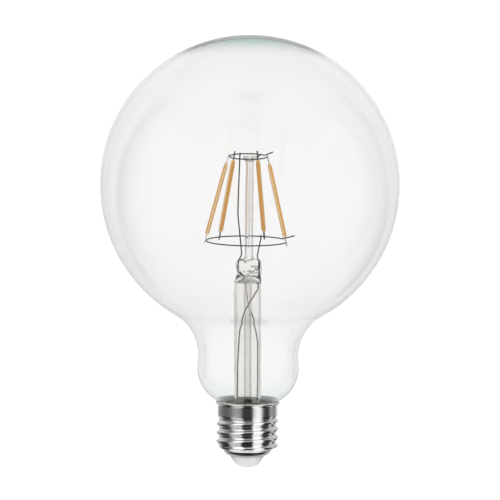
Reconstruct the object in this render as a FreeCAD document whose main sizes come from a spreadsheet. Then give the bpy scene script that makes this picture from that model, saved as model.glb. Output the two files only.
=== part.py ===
import FreeCAD, Part
import Sketcher
import math
import os
import re

# A clear globe bulb with four light strips on two wire hoops, a glass stem and an E27 screw cap.
# Millimetres. +Z is up, the origin is the middle of the centre contact's flat underside.

SIZES = {
    # blown glass globe
    "globe_radius": 62.5,
    "glass_wall": 0.85,
    "inner_drop": 0.3,
    "throat_radius": 21.05,
    "throat_round": 20.0,
    "bowl_radius": 21.4,
    "bowl_round": 15.5,
    "waist_rise": 5.0,
    "neck_gap": 0.15,
    # glass stem
    "flare_radius": 5.6,
    "flare_wall": 0.75,
    "flare_lip": 1.0,
    "stem_length": 68.1,
    "pinch_height": 7.0,
    "pinch_thickness": 5.2,
    "pinch_slope": 3.4,
    "pinch_edge_round": 1.1,
    "exhaust_radius": 1.6,
    "exhaust_bore": 1.0,
    "exhaust_tip": 6.0,
    "exhaust_depth": 8.6,
    "blow_hole_radius": 0.7,
    "blow_hole_depth": 5.4,
    "post_radius": 1.68,
    "post_foot_radius": 2.1,
    "post_foot_length": 2.2,
    "button_radius": 3.15,
    "button_thickness": 2.1,
    "post_length": 42.7,
    # wires
    "hoop_wire": 0.56,
    "lead_wire": 0.6,
    "seal_wire": 0.5,
    "outer_wire": 0.36,
    "support_wire": 0.5,
    "wire_bend": 1.6,
    "upper_hoop_radius": 7.8,
    "upper_hoop_offset": 0.9,
    "upper_hoop_rise": 0.4,
    "upper_hoop_tilt": 3.0,
    "upper_tail_length": 3.7,
    "lower_hoop_radius": 17.0,
    "lower_hoop_offset": 1.15,
    "lower_hoop_rise": 7.9,
    "lower_hoop_tilt": 0.5,
    "lower_tail_length": 5.2,
    "lead_spread_left": 4.15,
    "lead_spread_right": 3.75,
    "lead_bow": 0.5,
    "lead_hook": 1.2,
    "seal_depth": 2.3,
    "seal_length": 9.1,
    "seal_swerve": 2.6,
    "seal_back": 2.2,
    # light strips
    "strip_width": 1.75,
    "slip_thickness": 0.4,
    "bead_depth": 0.58,
    "bead_margin": 0.3,
    "clip_reach": 2.4,
    "clip_width": 0.8,
    "clip_thickness": 0.25,
    "clip_stub": 1.3,
    # cap
    "shell_wall": 0.3,
    "thread_root_radius": 12.05,
    "collar_step": 0.65,
    "collar_bottom": 21.2,
    "collar_height": 5.1,
    "lip_flare": 0.6,
    "lip_height": 0.95,
    "taper_height": 2.5,
    "shell_edge_radius": 9.9,
    "shell_edge_height": 6.7,
    "insulator_base_radius": 7.4,
    "insulator_bottom": 4.4,
    "seat_height": 1.5,
    "contact_radius": 7.2,
    "contact_flat_radius": 2.3,
    "contact_step_radius": 4.9,
    "contact_step_height": 1.0,
    "contact_shank_radius": 1.4,
    "contact_shank_length": 2.4,
    "contact_sheet": 0.4,
    # driver inside the cap
    "board_radius": 8.8,
    "board_thickness": 1.0,
    "driver_room": 9.3,
    "rectifier_length": 4.6,
    "rectifier_width": 3.8,
    "rectifier_height": 1.5,
    "chip_length": 4.9,
    "chip_width": 3.9,
    "chip_height": 1.4,
    "part_offset": 5.0,
    "capacitor_radius": 2.5,
    "capacitor_length": 7.0,
    "resistor_radius": 1.1,
    "resistor_length": 6.0,
}

# angles round the axis where the four strips hang on the upper and the lower hoop, from +X seen from above
STRIP_ANGLES = [(180.0, 180.0), (134.0, 131.5), (62.0, 65.5), (-8.0, -20.6)]
HOOP_ANGLES = {"upper": (-4.0, -323.0), "lower": (-16.0, -327.0)}
TAIL_RISE = {"upper": 22.0, "lower": 15.0}
LEAD_ANGLES = {"upper": 246.0, "lower": 69.0}
SUPPORT_ANGLES = (38.0, 44.0)
WIRE_SIDES = 8

doc = FreeCAD.newDocument("globe_bulb")
sheet = doc.addObject("Spreadsheet::Sheet", "sizes")
for row, (alias, number) in enumerate(SIZES.items(), start=1):
    sheet.set(f"A{row}", alias.replace("_", " "))
    sheet.set(f"B{row}", str(number))
    sheet.setAlias(f"B{row}", alias)
doc.recompute()

pieces = []


def bound(text):
    """An expression in which each size's name is read from the sheet."""
    return re.sub(r"[a-z_]+", lambda word: "sizes." * (word.group() in SIZES) + word.group(), text)


def value(text):
    """The number that an expression gives."""
    return float(sheet.evalExpression(bound(text)))


def piece(obj, label):
    """Name a finished piece and keep it for the files."""
    obj.Label = label
    pieces.append(obj)
    return obj


def new_body(name):
    return doc.addObject("PartDesign::Body", name)


def plane(body, role):
    return next(f for f in body.Origin.OriginFeatures if f.Role == role)


def attached_sketch(body, name, role):
    sketch = body.newObject("Sketcher::SketchObject", name)
    sketch.AttachmentSupport = [(plane(body, role), "")]
    sketch.MapMode = "FlatFace"
    return sketch


def bind(sketch, number, text):
    sketch.setExpression(f"Constraints[{number}]", bound(text))


def fix_point(sketch, edge, end, across, up):
    """Tie one end of an edge to its place, given as two expressions."""
    for axis, kind, text in ((-2, "DistanceX", across), (-1, "DistanceY", up)):
        if text == "0":
            sketch.addConstraint(Sketcher.Constraint("PointOnObject", edge, end, axis))
            continue
        number = sketch.addConstraint(Sketcher.Constraint(kind, -1, 1, edge, end, value(text)))
        bind(sketch, number, text)


def arc_between(start, end, radius, side):
    """A short arc through two points. Side 1 turns left on the way, -1 turns right."""
    chord = end - start
    reach = math.sqrt(max(radius**2 - chord.Length**2 / 4, 0.0))
    left = FreeCAD.Vector(-chord.y, chord.x, 0).normalize()
    centre = (start + end) * 0.5 + left * reach * side
    first, last = (start, end) if side > 0 else (end, start)
    angles = [math.atan2(p.y - centre.y, p.x - centre.x) for p in (first, last)]
    circle = Part.Circle(centre, FreeCAD.Vector(0, 0, 1), radius)
    return Part.ArcOfCircle(circle, angles[0], angles[1])


def outline_sketch(body, name, role, outline):
    """A closed outline of corners (across, up), or (across, up, radius, side) where an arc follows."""
    sketch = attached_sketch(body, name, role)
    corners = [FreeCAD.Vector(value(c[0]), value(c[1]), 0) for c in outline]
    ends = []
    for i, corner in enumerate(outline):
        start, end = corners[i], corners[(i + 1) % len(corners)]
        if len(corner) == 4:
            side = corner[3]
            edge = sketch.addGeometry(arc_between(start, end, value(corner[2]), side))
            ends.append((edge, 1, 2) if side > 0 else (edge, 2, 1))
        else:
            edge = sketch.addGeometry(Part.LineSegment(start, end))
            ends.append((edge, 1, 2))
    for i, (edge, _, last) in enumerate(ends):
        following = ends[(i + 1) % len(ends)]
        sketch.addConstraint(Sketcher.Constraint("Coincident", edge, last, following[0], following[1]))
    for (edge, first, _), corner in zip(ends, outline):
        fix_point(sketch, edge, first, corner[0], corner[1])
        if len(corner) == 4:
            number = sketch.addConstraint(Sketcher.Constraint("Radius", edge, value(corner[2])))
            bind(sketch, number, corner[2])
    return sketch


def revolve(body, outline, name="profile"):
    """Turn an outline in the XZ plane round the bulb's axis."""
    sketch = outline_sketch(body, name, "XZ_Plane", outline)
    turned = body.newObject("PartDesign::Revolution", name + "_turned")
    turned.Profile = sketch
    turned.ReferenceAxis = (sketch, ["V_Axis"])
    turned.Angle = 360
    sketch.Visibility = False
    return turned


def circle_sketch(body, name, role, radius, across="0", up="0"):
    """One circle on an origin plane."""
    sketch = attached_sketch(body, name, role)
    centre = FreeCAD.Vector(value(across), value(up), 0)
    edge = sketch.addGeometry(Part.Circle(centre, FreeCAD.Vector(0, 0, 1), value(radius)))
    fix_point(sketch, edge, 3, across, up)
    number = sketch.addConstraint(Sketcher.Constraint("Radius", edge, value(radius)))
    bind(sketch, number, radius)
    return sketch


# Places that several pieces share. The heights stack up from the centre contact.
INSULATOR_TOP = "(shell_edge_height + seat_height)"
BOARD_TOP = f"({INSULATOR_TOP} + board_thickness)"
NECK_BOTTOM = f"({BOARD_TOP} + driver_room)"
COLLAR_RADIUS = "(thread_root_radius + collar_step)"
COLLAR_TOP = "(collar_bottom + collar_height)"
LIP_TOP = f"({COLLAR_TOP} + lip_height)"
NECK_RADIUS = "(thread_root_radius - shell_wall - neck_gap)"
BOWL_X = "(bowl_radius - bowl_round)"
BOWL_Z = f"({LIP_TOP} + sqrt(bowl_round^2 - ({NECK_RADIUS} - {BOWL_X})^2))"
THROAT_X = "(throat_radius + throat_round)"
THROAT_Z = f"({BOWL_Z} + waist_rise)"
GLOBE_Z = f"({THROAT_Z} + sqrt((globe_radius + throat_round)^2 - {THROAT_X}^2))"
INNER_RADIUS = "(globe_radius - glass_wall)"
INNER_Z = f"({GLOBE_Z} - inner_drop)"
INNER_REACH = f"sqrt({THROAT_X}^2 + ({INNER_Z} - {THROAT_Z})^2)"
THROAT_WALL = f"({INNER_REACH} - {INNER_RADIUS} - throat_round)"
NECK_INNER = f"({NECK_RADIUS} - {THROAT_WALL})"
FLARE_ROUND = f"({NECK_INNER} - flare_radius - flare_lip)"
PINCH_TOP = f"({NECK_BOTTOM} + stem_length)"
PINCH_BOTTOM = f"({PINCH_TOP} - pinch_height)"
SEAL_TOP = f"({PINCH_TOP} - seal_depth)"
SEAL_BOTTOM = f"({SEAL_TOP} - seal_length)"
EXHAUST_TOP = f"({PINCH_TOP} - exhaust_depth)"
EXHAUST_BOTTOM = f"({NECK_BOTTOM} - exhaust_tip)"
BUTTON_Z = f"({PINCH_TOP} + post_length)"
HOOP_Z = {"upper": f"({BUTTON_Z} + upper_hoop_rise)", "lower": f"({PINCH_TOP} + lower_hoop_rise)"}


def make_globe():
    """The blown envelope: a sphere, a concave throat, a rounded bowl and a straight neck."""
    outer_share = "(globe_radius / (globe_radius + throat_round))"
    inner_share = f"({INNER_RADIUS} / {INNER_REACH})"
    inner_bowl = f"(bowl_round - {THROAT_WALL})"
    inner_foot = f"{BOWL_Z} - sqrt({inner_bowl}^2 - ({NECK_INNER} - {BOWL_X})^2)"
    outer_join = f"{GLOBE_Z} + ({THROAT_Z} - {GLOBE_Z}) * {outer_share}"
    inner_join = f"{INNER_Z} + ({THROAT_Z} - {INNER_Z}) * {inner_share}"
    body = new_body("globe_body")
    revolve(
        body,
        [
            ("0", f"{GLOBE_Z} + globe_radius", "globe_radius", -1),
            (f"{THROAT_X} * {outer_share}", outer_join, "throat_round", 1),
            ("throat_radius", THROAT_Z),
            ("bowl_radius", BOWL_Z, "bowl_round", -1),
            (NECK_RADIUS, LIP_TOP),
            (NECK_RADIUS, NECK_BOTTOM),
            (NECK_INNER, NECK_BOTTOM),
            (NECK_INNER, inner_foot, inner_bowl, 1),
            (f"bowl_radius - {THROAT_WALL}", BOWL_Z),
            (f"throat_radius - {THROAT_WALL}", THROAT_Z, f"throat_round + {THROAT_WALL}", -1),
            (f"{THROAT_X} * {inner_share}", inner_join, INNER_RADIUS, 1),
            ("0", f"{INNER_Z} + {INNER_RADIUS}"),
        ],
    )
    return piece(body, "globe")


def rounded_path(points, bend):
    """Straight runs joined by arcs that are tangent to both runs."""
    edges = []
    start = points[0]
    for before, corner, after in zip(points, points[1:], points[2:]):
        into, out = (before - corner), (after - corner)
        turn = math.pi - into.getAngle(out)
        trim = min(bend * math.tan(turn / 2), 0.45 * min(into.Length, out.Length))
        enter = corner + into.normalize() * trim
        leave = corner + out.normalize() * trim
        radius = trim / math.tan(turn / 2)
        middle_way = (into + out).normalize()
        depth = radius / math.cos(turn / 2) - radius
        edges.append(Part.LineSegment(start, enter).toShape())
        edges.append(Part.Arc(enter, corner + middle_way * depth, leave).toShape())
        start = leave
    edges.append(Part.LineSegment(start, points[-1]).toShape())
    return edges


def corner_reach(diameter):
    """How far the corners of a wire's eight-sided section stand from its middle."""
    return diameter / 2 / math.cos(math.pi / WIRE_SIDES)


def wire_along(edges, diameter):
    """A thin wire swept along a path, with an eight-sided section whose flats lie a diameter apart."""
    first = edges[0]
    start = first.valueAt(first.FirstParameter)
    direction = first.tangentAt(first.FirstParameter)
    upright = FreeCAD.Vector(0, 0, 1) if abs(direction.z) < 0.9 else FreeCAD.Vector(0, 1, 0)
    across = direction.cross(upright).normalize()
    above = across.cross(direction).normalize()
    corners = []
    for i in range(WIRE_SIDES):
        spin = (i + 0.5) * 2 * math.pi / WIRE_SIDES
        corners.append(start + (across * math.cos(spin) + above * math.sin(spin)) * corner_reach(diameter))
    section = Part.makePolygon(corners + corners[:1])
    return Part.Wire(edges).makePipeShell([section], True, False)


def wire_piece(label, edges, diameter):
    feature = doc.addObject("Part::Feature", label + "_wire")
    feature.Shape = wire_along(edges, diameter)
    return piece(feature, label)


def hoop_turn(which):
    """The hoop's own place: tilted towards the front, on its own centre."""
    tilt = FreeCAD.Rotation(FreeCAD.Vector(1, 0, 0), value(f"{which}_hoop_tilt"))
    centre = FreeCAD.Vector(-value(f"{which}_hoop_offset"), 0, value(HOOP_Z[which]))
    return FreeCAD.Placement(centre, tilt)


def hoop_point(which, angle, beyond=0.0):
    """A point on a hoop's middle line, or beyond it outwards."""
    reach = value(f"{which}_hoop_radius") + beyond
    spin = math.radians(angle)
    return hoop_turn(which).multVec(FreeCAD.Vector(reach * math.cos(spin), reach * math.sin(spin), 0))


def make_hoop(which):
    """A wire bent clockwise into an open ring whose last end runs straight out as a tail."""
    first_angle, last_angle = HOOP_ANGLES[which]
    halfway = (first_angle + last_angle) / 2
    ring = Part.Arc(*[hoop_point(which, a) for a in (first_angle, halfway, last_angle)]).toShape()
    leave = ring.valueAt(ring.LastParameter)
    onward = ring.tangentAt(ring.LastParameter)
    rise = math.radians(TAIL_RISE[which])
    tail = FreeCAD.Vector(math.cos(rise), 0, math.sin(rise))
    corner = leave + onward * value("hoop_wire") * 2
    end = corner + tail * value(f"{which}_tail_length")
    edges = [ring] + rounded_path([leave, corner, end], value("hoop_wire") * 2)
    return wire_piece(f"{which}_hoop", edges, value("hoop_wire"))


def make_leads():
    """Two lead-ins, each an inner lead, a seal wire in the pinch and a thin outer lead."""
    gap = corner_reach(value("hoop_wire")) + corner_reach(value("lead_wire"))
    lift = FreeCAD.Vector(0, 0, value("lead_wire"))
    pinch_top = value(PINCH_TOP)
    seal_top = value(SEAL_TOP)
    seal_bottom = value(SEAL_BOTTOM)
    left = -value("lead_spread_left")
    right = value("lead_spread_right")
    bow = value("lead_bow")
    hook = value("lead_hook")
    bend = value("wire_bend")

    # left: from the front of the upper hoop, bowed outwards, then in to the pinch
    top = hoop_point("upper", LEAD_ANGLES["upper"], gap) + lift
    span = top.z - pinch_top
    left_run = [
        top,
        FreeCAD.Vector(top.x - bow, top.y * 0.9, top.z - span * 0.4),
        FreeCAD.Vector(top.x - bow * 1.1, top.y * 0.75, top.z - span * 0.55),
        FreeCAD.Vector(top.x + hook * 0.5, top.y * 0.35, top.z - span * 0.8),
        FreeCAD.Vector(top.x + hook, top.y * 0.1, pinch_top + span * 0.055),
        FreeCAD.Vector(left + bow * 0.2, 0, pinch_top + span * 0.02),
        FreeCAD.Vector(left, 0, seal_top),
    ]
    # right: from the back of the lower hoop, down and forwards to the pinch
    start = hoop_point("lower", LEAD_ANGLES["lower"], -gap)
    fall = start.z - pinch_top
    right_run = [
        start + lift,
        start - FreeCAD.Vector(bow * 0.2, hook, fall * 0.1),
        FreeCAD.Vector(right - bow * 0.8, start.y * 0.15, pinch_top + fall * 0.22),
        FreeCAD.Vector(right, 0, pinch_top + fall * 0.06),
        FreeCAD.Vector(right, 0, seal_top),
    ]
    swerve = value("seal_swerve")
    back = value("seal_back")
    sink = seal_top - seal_bottom
    left_seal = [
        FreeCAD.Vector(left, 0, seal_top),
        FreeCAD.Vector(left, 0, seal_top - sink * 0.19),
        FreeCAD.Vector(left + swerve * 0.58, back * 0.23, seal_top - sink * 0.44),
        FreeCAD.Vector(left + swerve * 0.92, back * 0.86, seal_top - sink * 0.73),
        FreeCAD.Vector(left + swerve, back, seal_bottom),
    ]
    right_seal = [FreeCAD.Vector(right, 0, seal_top), FreeCAD.Vector(right, 0, seal_bottom)]

    # below the pinch the thin leads cross, one in front of the exhaust tube and one behind it
    board_top = value(BOARD_TOP)
    thin = value("outer_wire")
    reach = value("flare_radius - flare_wall - outer_wire")
    cross = value("exhaust_radius + outer_wire")
    low = value(f"{NECK_BOTTOM} + {FLARE_ROUND} + flare_wall")
    run = seal_bottom - low
    pad = value("part_offset") * 0.8
    left_outer = [
        left_seal[-1],
        FreeCAD.Vector(-thin * 0.5, cross + thin * 0.8, seal_bottom - run * 0.12),
        FreeCAD.Vector(reach * 0.52, cross + thin * 0.5, seal_bottom - run * 0.27),
        FreeCAD.Vector(reach * 0.88, reach * 0.3, seal_bottom - run * 0.42),
        FreeCAD.Vector(reach * 0.93, reach * 0.14, seal_bottom - run * 0.75),
        FreeCAD.Vector(reach * 0.75, reach * 0.1, low),
        FreeCAD.Vector(pad, pad, board_top),
    ]
    right_outer = [
        right_seal[-1],
        FreeCAD.Vector(thin * 0.3, -cross - thin, seal_bottom - run * 0.12),
        FreeCAD.Vector(-reach * 0.43, -cross - thin * 0.5, seal_bottom - run * 0.2),
        FreeCAD.Vector(-reach * 0.8, -reach * 0.3, seal_bottom - run * 0.33),
        FreeCAD.Vector(-reach * 0.96, -reach * 0.11, seal_bottom - run * 0.6),
        FreeCAD.Vector(-reach * 0.94, -reach * 0.07, low + run * 0.12),
        FreeCAD.Vector(-pad, -pad, board_top),
    ]
    wire_piece("inner_lead_left", rounded_path(left_run, bend), value("lead_wire"))
    wire_piece("inner_lead_right", rounded_path(right_run, bend), value("lead_wire"))
    wire_piece("seal_wire_left", rounded_path(left_seal, bend), value("seal_wire"))
    wire_piece("seal_wire_right", rounded_path(right_seal, bend), value("seal_wire"))
    wire_piece("outer_lead_left", rounded_path(left_outer, bend), value("outer_wire"))
    wire_piece("outer_lead_right", rounded_path(right_outer, bend), value("outer_wire"))


def make_exhaust_tube():
    """The thin pump tube, open into the blow hole and melted shut at its foot."""
    body = new_body("exhaust_tube_body")
    revolve(
        body,
        [
            ("0", EXHAUST_BOTTOM, "exhaust_radius * 1.02", 1),
            ("exhaust_radius", f"{EXHAUST_BOTTOM} + exhaust_radius"),
            ("exhaust_radius", EXHAUST_TOP),
            ("exhaust_bore", EXHAUST_TOP),
            ("exhaust_bore", f"{EXHAUST_BOTTOM} + exhaust_radius * 1.6"),
            ("0", f"{EXHAUST_BOTTOM} + exhaust_radius"),
        ],
    )
    return piece(body, "exhaust_tube")


def make_stem_post():
    """The rod that stands on the pinch, with its foot drawn out and a button at the top."""
    body = new_body("stem_post_body")
    low = f"({BUTTON_Z} - button_thickness / 2)"
    high = f"({BUTTON_Z} + button_thickness / 2)"
    revolve(
        body,
        [
            ("0", PINCH_TOP),
            ("post_foot_radius", PINCH_TOP),
            ("post_radius", f"{PINCH_TOP} + post_foot_length"),
            ("post_radius", low),
            ("button_radius - button_thickness * 0.4", low, "button_thickness * 0.62", 1),
            ("button_radius - button_thickness * 0.4", high),
            ("0", f"{high} + button_thickness * 0.1"),
        ],
    )
    return piece(body, "stem_post")


def make_stem_flare(wires):
    """The flare tube: trumpet foot, straight tube and a top pinched flat round the wires."""
    body = new_body("stem_flare_body")
    start = f"({NECK_BOTTOM} + flare_wall + {FLARE_ROUND})"
    round_x = f"(flare_radius + {FLARE_ROUND})"
    bore = "(flare_radius - flare_wall)"
    roof = f"({EXHAUST_TOP} - flare_wall / 4)"
    revolve(
        body,
        [
            ("0", PINCH_TOP),
            ("flare_radius - pinch_edge_round", PINCH_TOP, "pinch_edge_round", -1),
            ("flare_radius", f"{PINCH_TOP} - pinch_edge_round"),
            ("flare_radius", start, FLARE_ROUND, 1),
            (round_x, f"{NECK_BOTTOM} + flare_wall"),
            (NECK_INNER, f"{NECK_BOTTOM} + flare_wall"),
            (NECK_INNER, NECK_BOTTOM),
            (round_x, NECK_BOTTOM, f"{FLARE_ROUND} + flare_wall", -1),
            (bore, start),
            (bore, f"{roof} - {bore} * 0.45", f"{bore} * 1.35", 1),
            ("0", roof),
        ],
    )
    # the jaws leave a flat web and a sloped shoulder at the front and at the back
    clear = "(flare_radius * 1.1)"
    for sign, name in ((1, "back"), (-1, "front")):
        side = "+" if sign > 0 else "-"
        jaw = outline_sketch(
            body,
            f"{name}_jaw",
            "YZ_Plane",
            [
                (f"{side}(pinch_thickness / 2)", f"{PINCH_TOP} + pinch_edge_round"),
                (f"{side}(pinch_thickness / 2)", PINCH_BOTTOM),
                (f"{side}{clear}", f"{PINCH_BOTTOM} - pinch_slope"),
                (f"{side}{clear}", f"{PINCH_TOP} + pinch_edge_round"),
            ],
        )
        squeeze = body.newObject("PartDesign::Pocket", f"{name}_squeeze")
        squeeze.Profile = jaw
        squeeze.Type = 1
        squeeze.SideType = "Symmetric"
        jaw.Visibility = False
    doc.recompute()
    # the blow hole: up from the exhaust tube's mouth and out through the front of the web
    turn_height = f"({PINCH_TOP} - blow_hole_depth)"
    rise = body.newObject("PartDesign::Pocket", "blow_hole_rise")
    rise.Profile = circle_sketch(body, "blow_hole_rise_circle", "XY_Plane", "blow_hole_radius")
    rise.Type = 0
    rise.Reversed = True
    rise.setExpression("Length", bound(turn_height))
    out = body.newObject("PartDesign::Pocket", "blow_hole_out")
    hole = circle_sketch(body, "blow_hole_out_circle", "XZ_Plane", "blow_hole_radius", "0", turn_height)
    out.Profile = hole
    out.Type = 0
    out.setExpression("Length", bound("flare_radius"))
    out.Reversed = True
    doc.recompute()
    tool = doc.addObject("Part::Feature", "wire_channels")
    seat = doc.addObject("Part::Feature", "exhaust_seat")
    seat_foot = FreeCAD.Vector(0, 0, value(SEAL_BOTTOM))
    seat_height = value(f"{EXHAUST_TOP} - {SEAL_BOTTOM}")
    seat.Shape = Part.makeCylinder(value("exhaust_radius"), seat_height, seat_foot)
    tool.Shape = wires[0].fuse(wires[1:] + [seat.Shape])
    cut = doc.addObject("Part::Cut", "stem_flare_cut")
    cut.Base = body
    cut.Tool = tool
    return piece(cut, "stem_flare")


def make_support():
    """The short wire that carries the upper hoop from the button."""
    button_angle, hoop_angle = SUPPORT_ANGLES
    spin = math.radians(button_angle)
    # the wire's end is sunk in the button by its own thickness
    grip = value("button_radius - support_wire")
    start = FreeCAD.Vector(grip * math.cos(spin), grip * math.sin(spin), value(BUTTON_Z))
    end = hoop_point("upper", hoop_angle, -value("hoop_wire") / 2)
    feature = doc.addObject("Part::Feature", "hoop_support_wire")
    whole = wire_along([Part.LineSegment(start, end).toShape()], value("support_wire"))
    feature.Shape = whole.cut(piece_named("stem_post").Shape)
    return piece(feature, "hoop_support")


def piece_named(label):
    return next(p for p in pieces if p.Label == label)


def strip_frame(number):
    """A placement whose Z runs up one strip and whose Y points outwards, and the span between hoops."""
    top_angle, low_angle = STRIP_ANGLES[number - 1]
    beyond = corner_reach(value("hoop_wire")) + value("clip_thickness") / 2
    top = hoop_point("upper", top_angle, beyond)
    low = hoop_point("lower", low_angle, beyond)
    span = (top - low).Length
    along = (top - low) * (1 / span)
    spin = math.radians(low_angle)
    outward = FreeCAD.Vector(math.cos(spin), math.sin(spin), 0)
    sideways = outward.cross(along).normalize()
    outward = along.cross(sideways)
    turn = FreeCAD.Rotation(sideways, outward, along, "ZXY")
    return FreeCAD.Placement(low, turn), span


def strip_pad(name, outline, placement, length):
    """A straight bar of one outline, set on a strip's own placement."""
    body = new_body(name + "_body")
    section = outline_sketch(body, name + "_section", "XY_Plane", outline)
    pad = body.newObject("PartDesign::Pad", name + "_pad")
    pad.Profile = section
    pad.Length = length
    section.Visibility = False
    body.Placement = placement
    return piece(body, name)


def make_strip(number):
    """One light strip: a ceramic slip, a bead of phosphor on each face, and two metal clips."""
    place, span = strip_frame(number)
    reach = value("clip_reach")
    length = span - reach * 2
    half_width = "(strip_width / 2)"
    half_slip = "(slip_thickness / 2)"
    slip = [
        (f"-{half_width}", f"-{half_slip}"),
        (half_width, f"-{half_slip}"),
        (half_width, half_slip),
        (f"-{half_width}", half_slip),
    ]
    bead_round = f"(({half_width}^2 + bead_depth^2) / (2 * bead_depth))"
    front = [(f"-{half_width}", half_slip), (half_width, half_slip, bead_round, 1)]
    back = [(half_width, f"-{half_slip}"), (f"-{half_width}", f"-{half_slip}", bead_round, 1)]
    at_slip = place.multiply(FreeCAD.Placement(FreeCAD.Vector(0, 0, reach), FreeCAD.Rotation()))
    margin = value("bead_margin")
    at_bead = place.multiply(FreeCAD.Placement(FreeCAD.Vector(0, 0, reach + margin), FreeCAD.Rotation()))
    strip_pad(f"filament_{number}", slip, at_slip, length)
    strip_pad(f"phosphor_outer_{number}", front, at_bead, length - margin * 2)
    strip_pad(f"phosphor_inner_{number}", back, at_bead, length - margin * 2)
    stub = value("clip_stub")
    for name, bottom in (("bottom_clip", -stub), ("top_clip", reach + length)):
        clip = doc.addObject("Part::Box", f"{name}_{number}_box")
        clip.setExpression("Length", bound("clip_width"))
        clip.setExpression("Width", bound("clip_thickness"))
        clip.setExpression("Height", bound("clip_reach + clip_stub"))
        offset = FreeCAD.Vector(-value("clip_width") / 2, -value("clip_thickness") / 2, bottom)
        clip.Placement = place.multiply(FreeCAD.Placement(offset, FreeCAD.Rotation()))
        piece(clip, f"{name}_{number}")


# Slope of the shell's foot, which the insulator fits from inside
TAPER = "((thread_root_radius - shell_edge_radius) / taper_height)"
TAPER_TOP = "(shell_edge_height + taper_height)"


def make_screw_shell():
    """The rolled sheet: collar and flared lip above, the band that takes the thread, tapered foot."""
    body = new_body("screw_shell_body")
    shoulder = "collar_bottom - collar_step"
    revolve(
        body,
        [
            (f"{COLLAR_RADIUS} + lip_flare", LIP_TOP),
            (COLLAR_RADIUS, COLLAR_TOP),
            (COLLAR_RADIUS, "collar_bottom"),
            ("thread_root_radius", shoulder),
            ("thread_root_radius", TAPER_TOP),
            ("shell_edge_radius", "shell_edge_height"),
            ("shell_edge_radius - shell_wall", "shell_edge_height"),
            ("thread_root_radius - shell_wall", TAPER_TOP),
            ("thread_root_radius - shell_wall", shoulder),
            (f"{COLLAR_RADIUS} - shell_wall", "collar_bottom"),
            (f"{COLLAR_RADIUS} - shell_wall", COLLAR_TOP),
            (f"{COLLAR_RADIUS} + lip_flare - shell_wall", LIP_TOP),
        ],
    )
    return piece(body, "screw_shell")


def make_insulator():
    """The black glass that carries the centre contact and closes the shell's foot."""
    body = new_body("insulator_body")
    seat = "(shell_edge_radius - shell_wall)"
    revolve(
        body,
        [
            ("contact_shank_radius", "insulator_bottom"),
            ("insulator_base_radius", "insulator_bottom"),
            (seat, "shell_edge_height"),
            (f"{seat} + seat_height * {TAPER}", INSULATOR_TOP),
            ("contact_shank_radius", INSULATOR_TOP),
        ],
    )
    return piece(body, "insulator")


def make_contact():
    """The stamped centre contact: a stepped dish with a hollow shank in the insulator's hole."""
    body = new_body("contact_body")
    bore = f"(support_wire / 2 / cos(180 / {WIRE_SIDES}))"
    revolve(
        body,
        [
            ("0", "0"),
            ("contact_flat_radius", "0"),
            ("contact_step_radius", "contact_step_height"),
            ("contact_radius", "insulator_bottom - contact_sheet"),
            ("contact_radius", "insulator_bottom"),
            ("contact_radius - contact_sheet", "insulator_bottom"),
            ("contact_step_radius", "contact_step_height + contact_sheet"),
            ("contact_flat_radius", "contact_sheet"),
            ("contact_shank_radius", "contact_sheet"),
            ("contact_shank_radius", "insulator_bottom + contact_shank_length"),
            (bore, "insulator_bottom + contact_shank_length"),
            (bore, "contact_sheet"),
            ("0", "contact_sheet"),
        ],
    )
    return piece(body, "centre_contact")


def make_cement():
    """The basing cement between the glass neck and the shell's collar."""
    body = new_body("cement_body")
    inner = f"({COLLAR_RADIUS} - shell_wall)"
    foot = "(collar_bottom + collar_height / 10)"
    revolve(body, [(NECK_RADIUS, foot), (inner, foot), (inner, COLLAR_TOP), (NECK_RADIUS, COLLAR_TOP)])
    return piece(body, "basing_cement")


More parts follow.
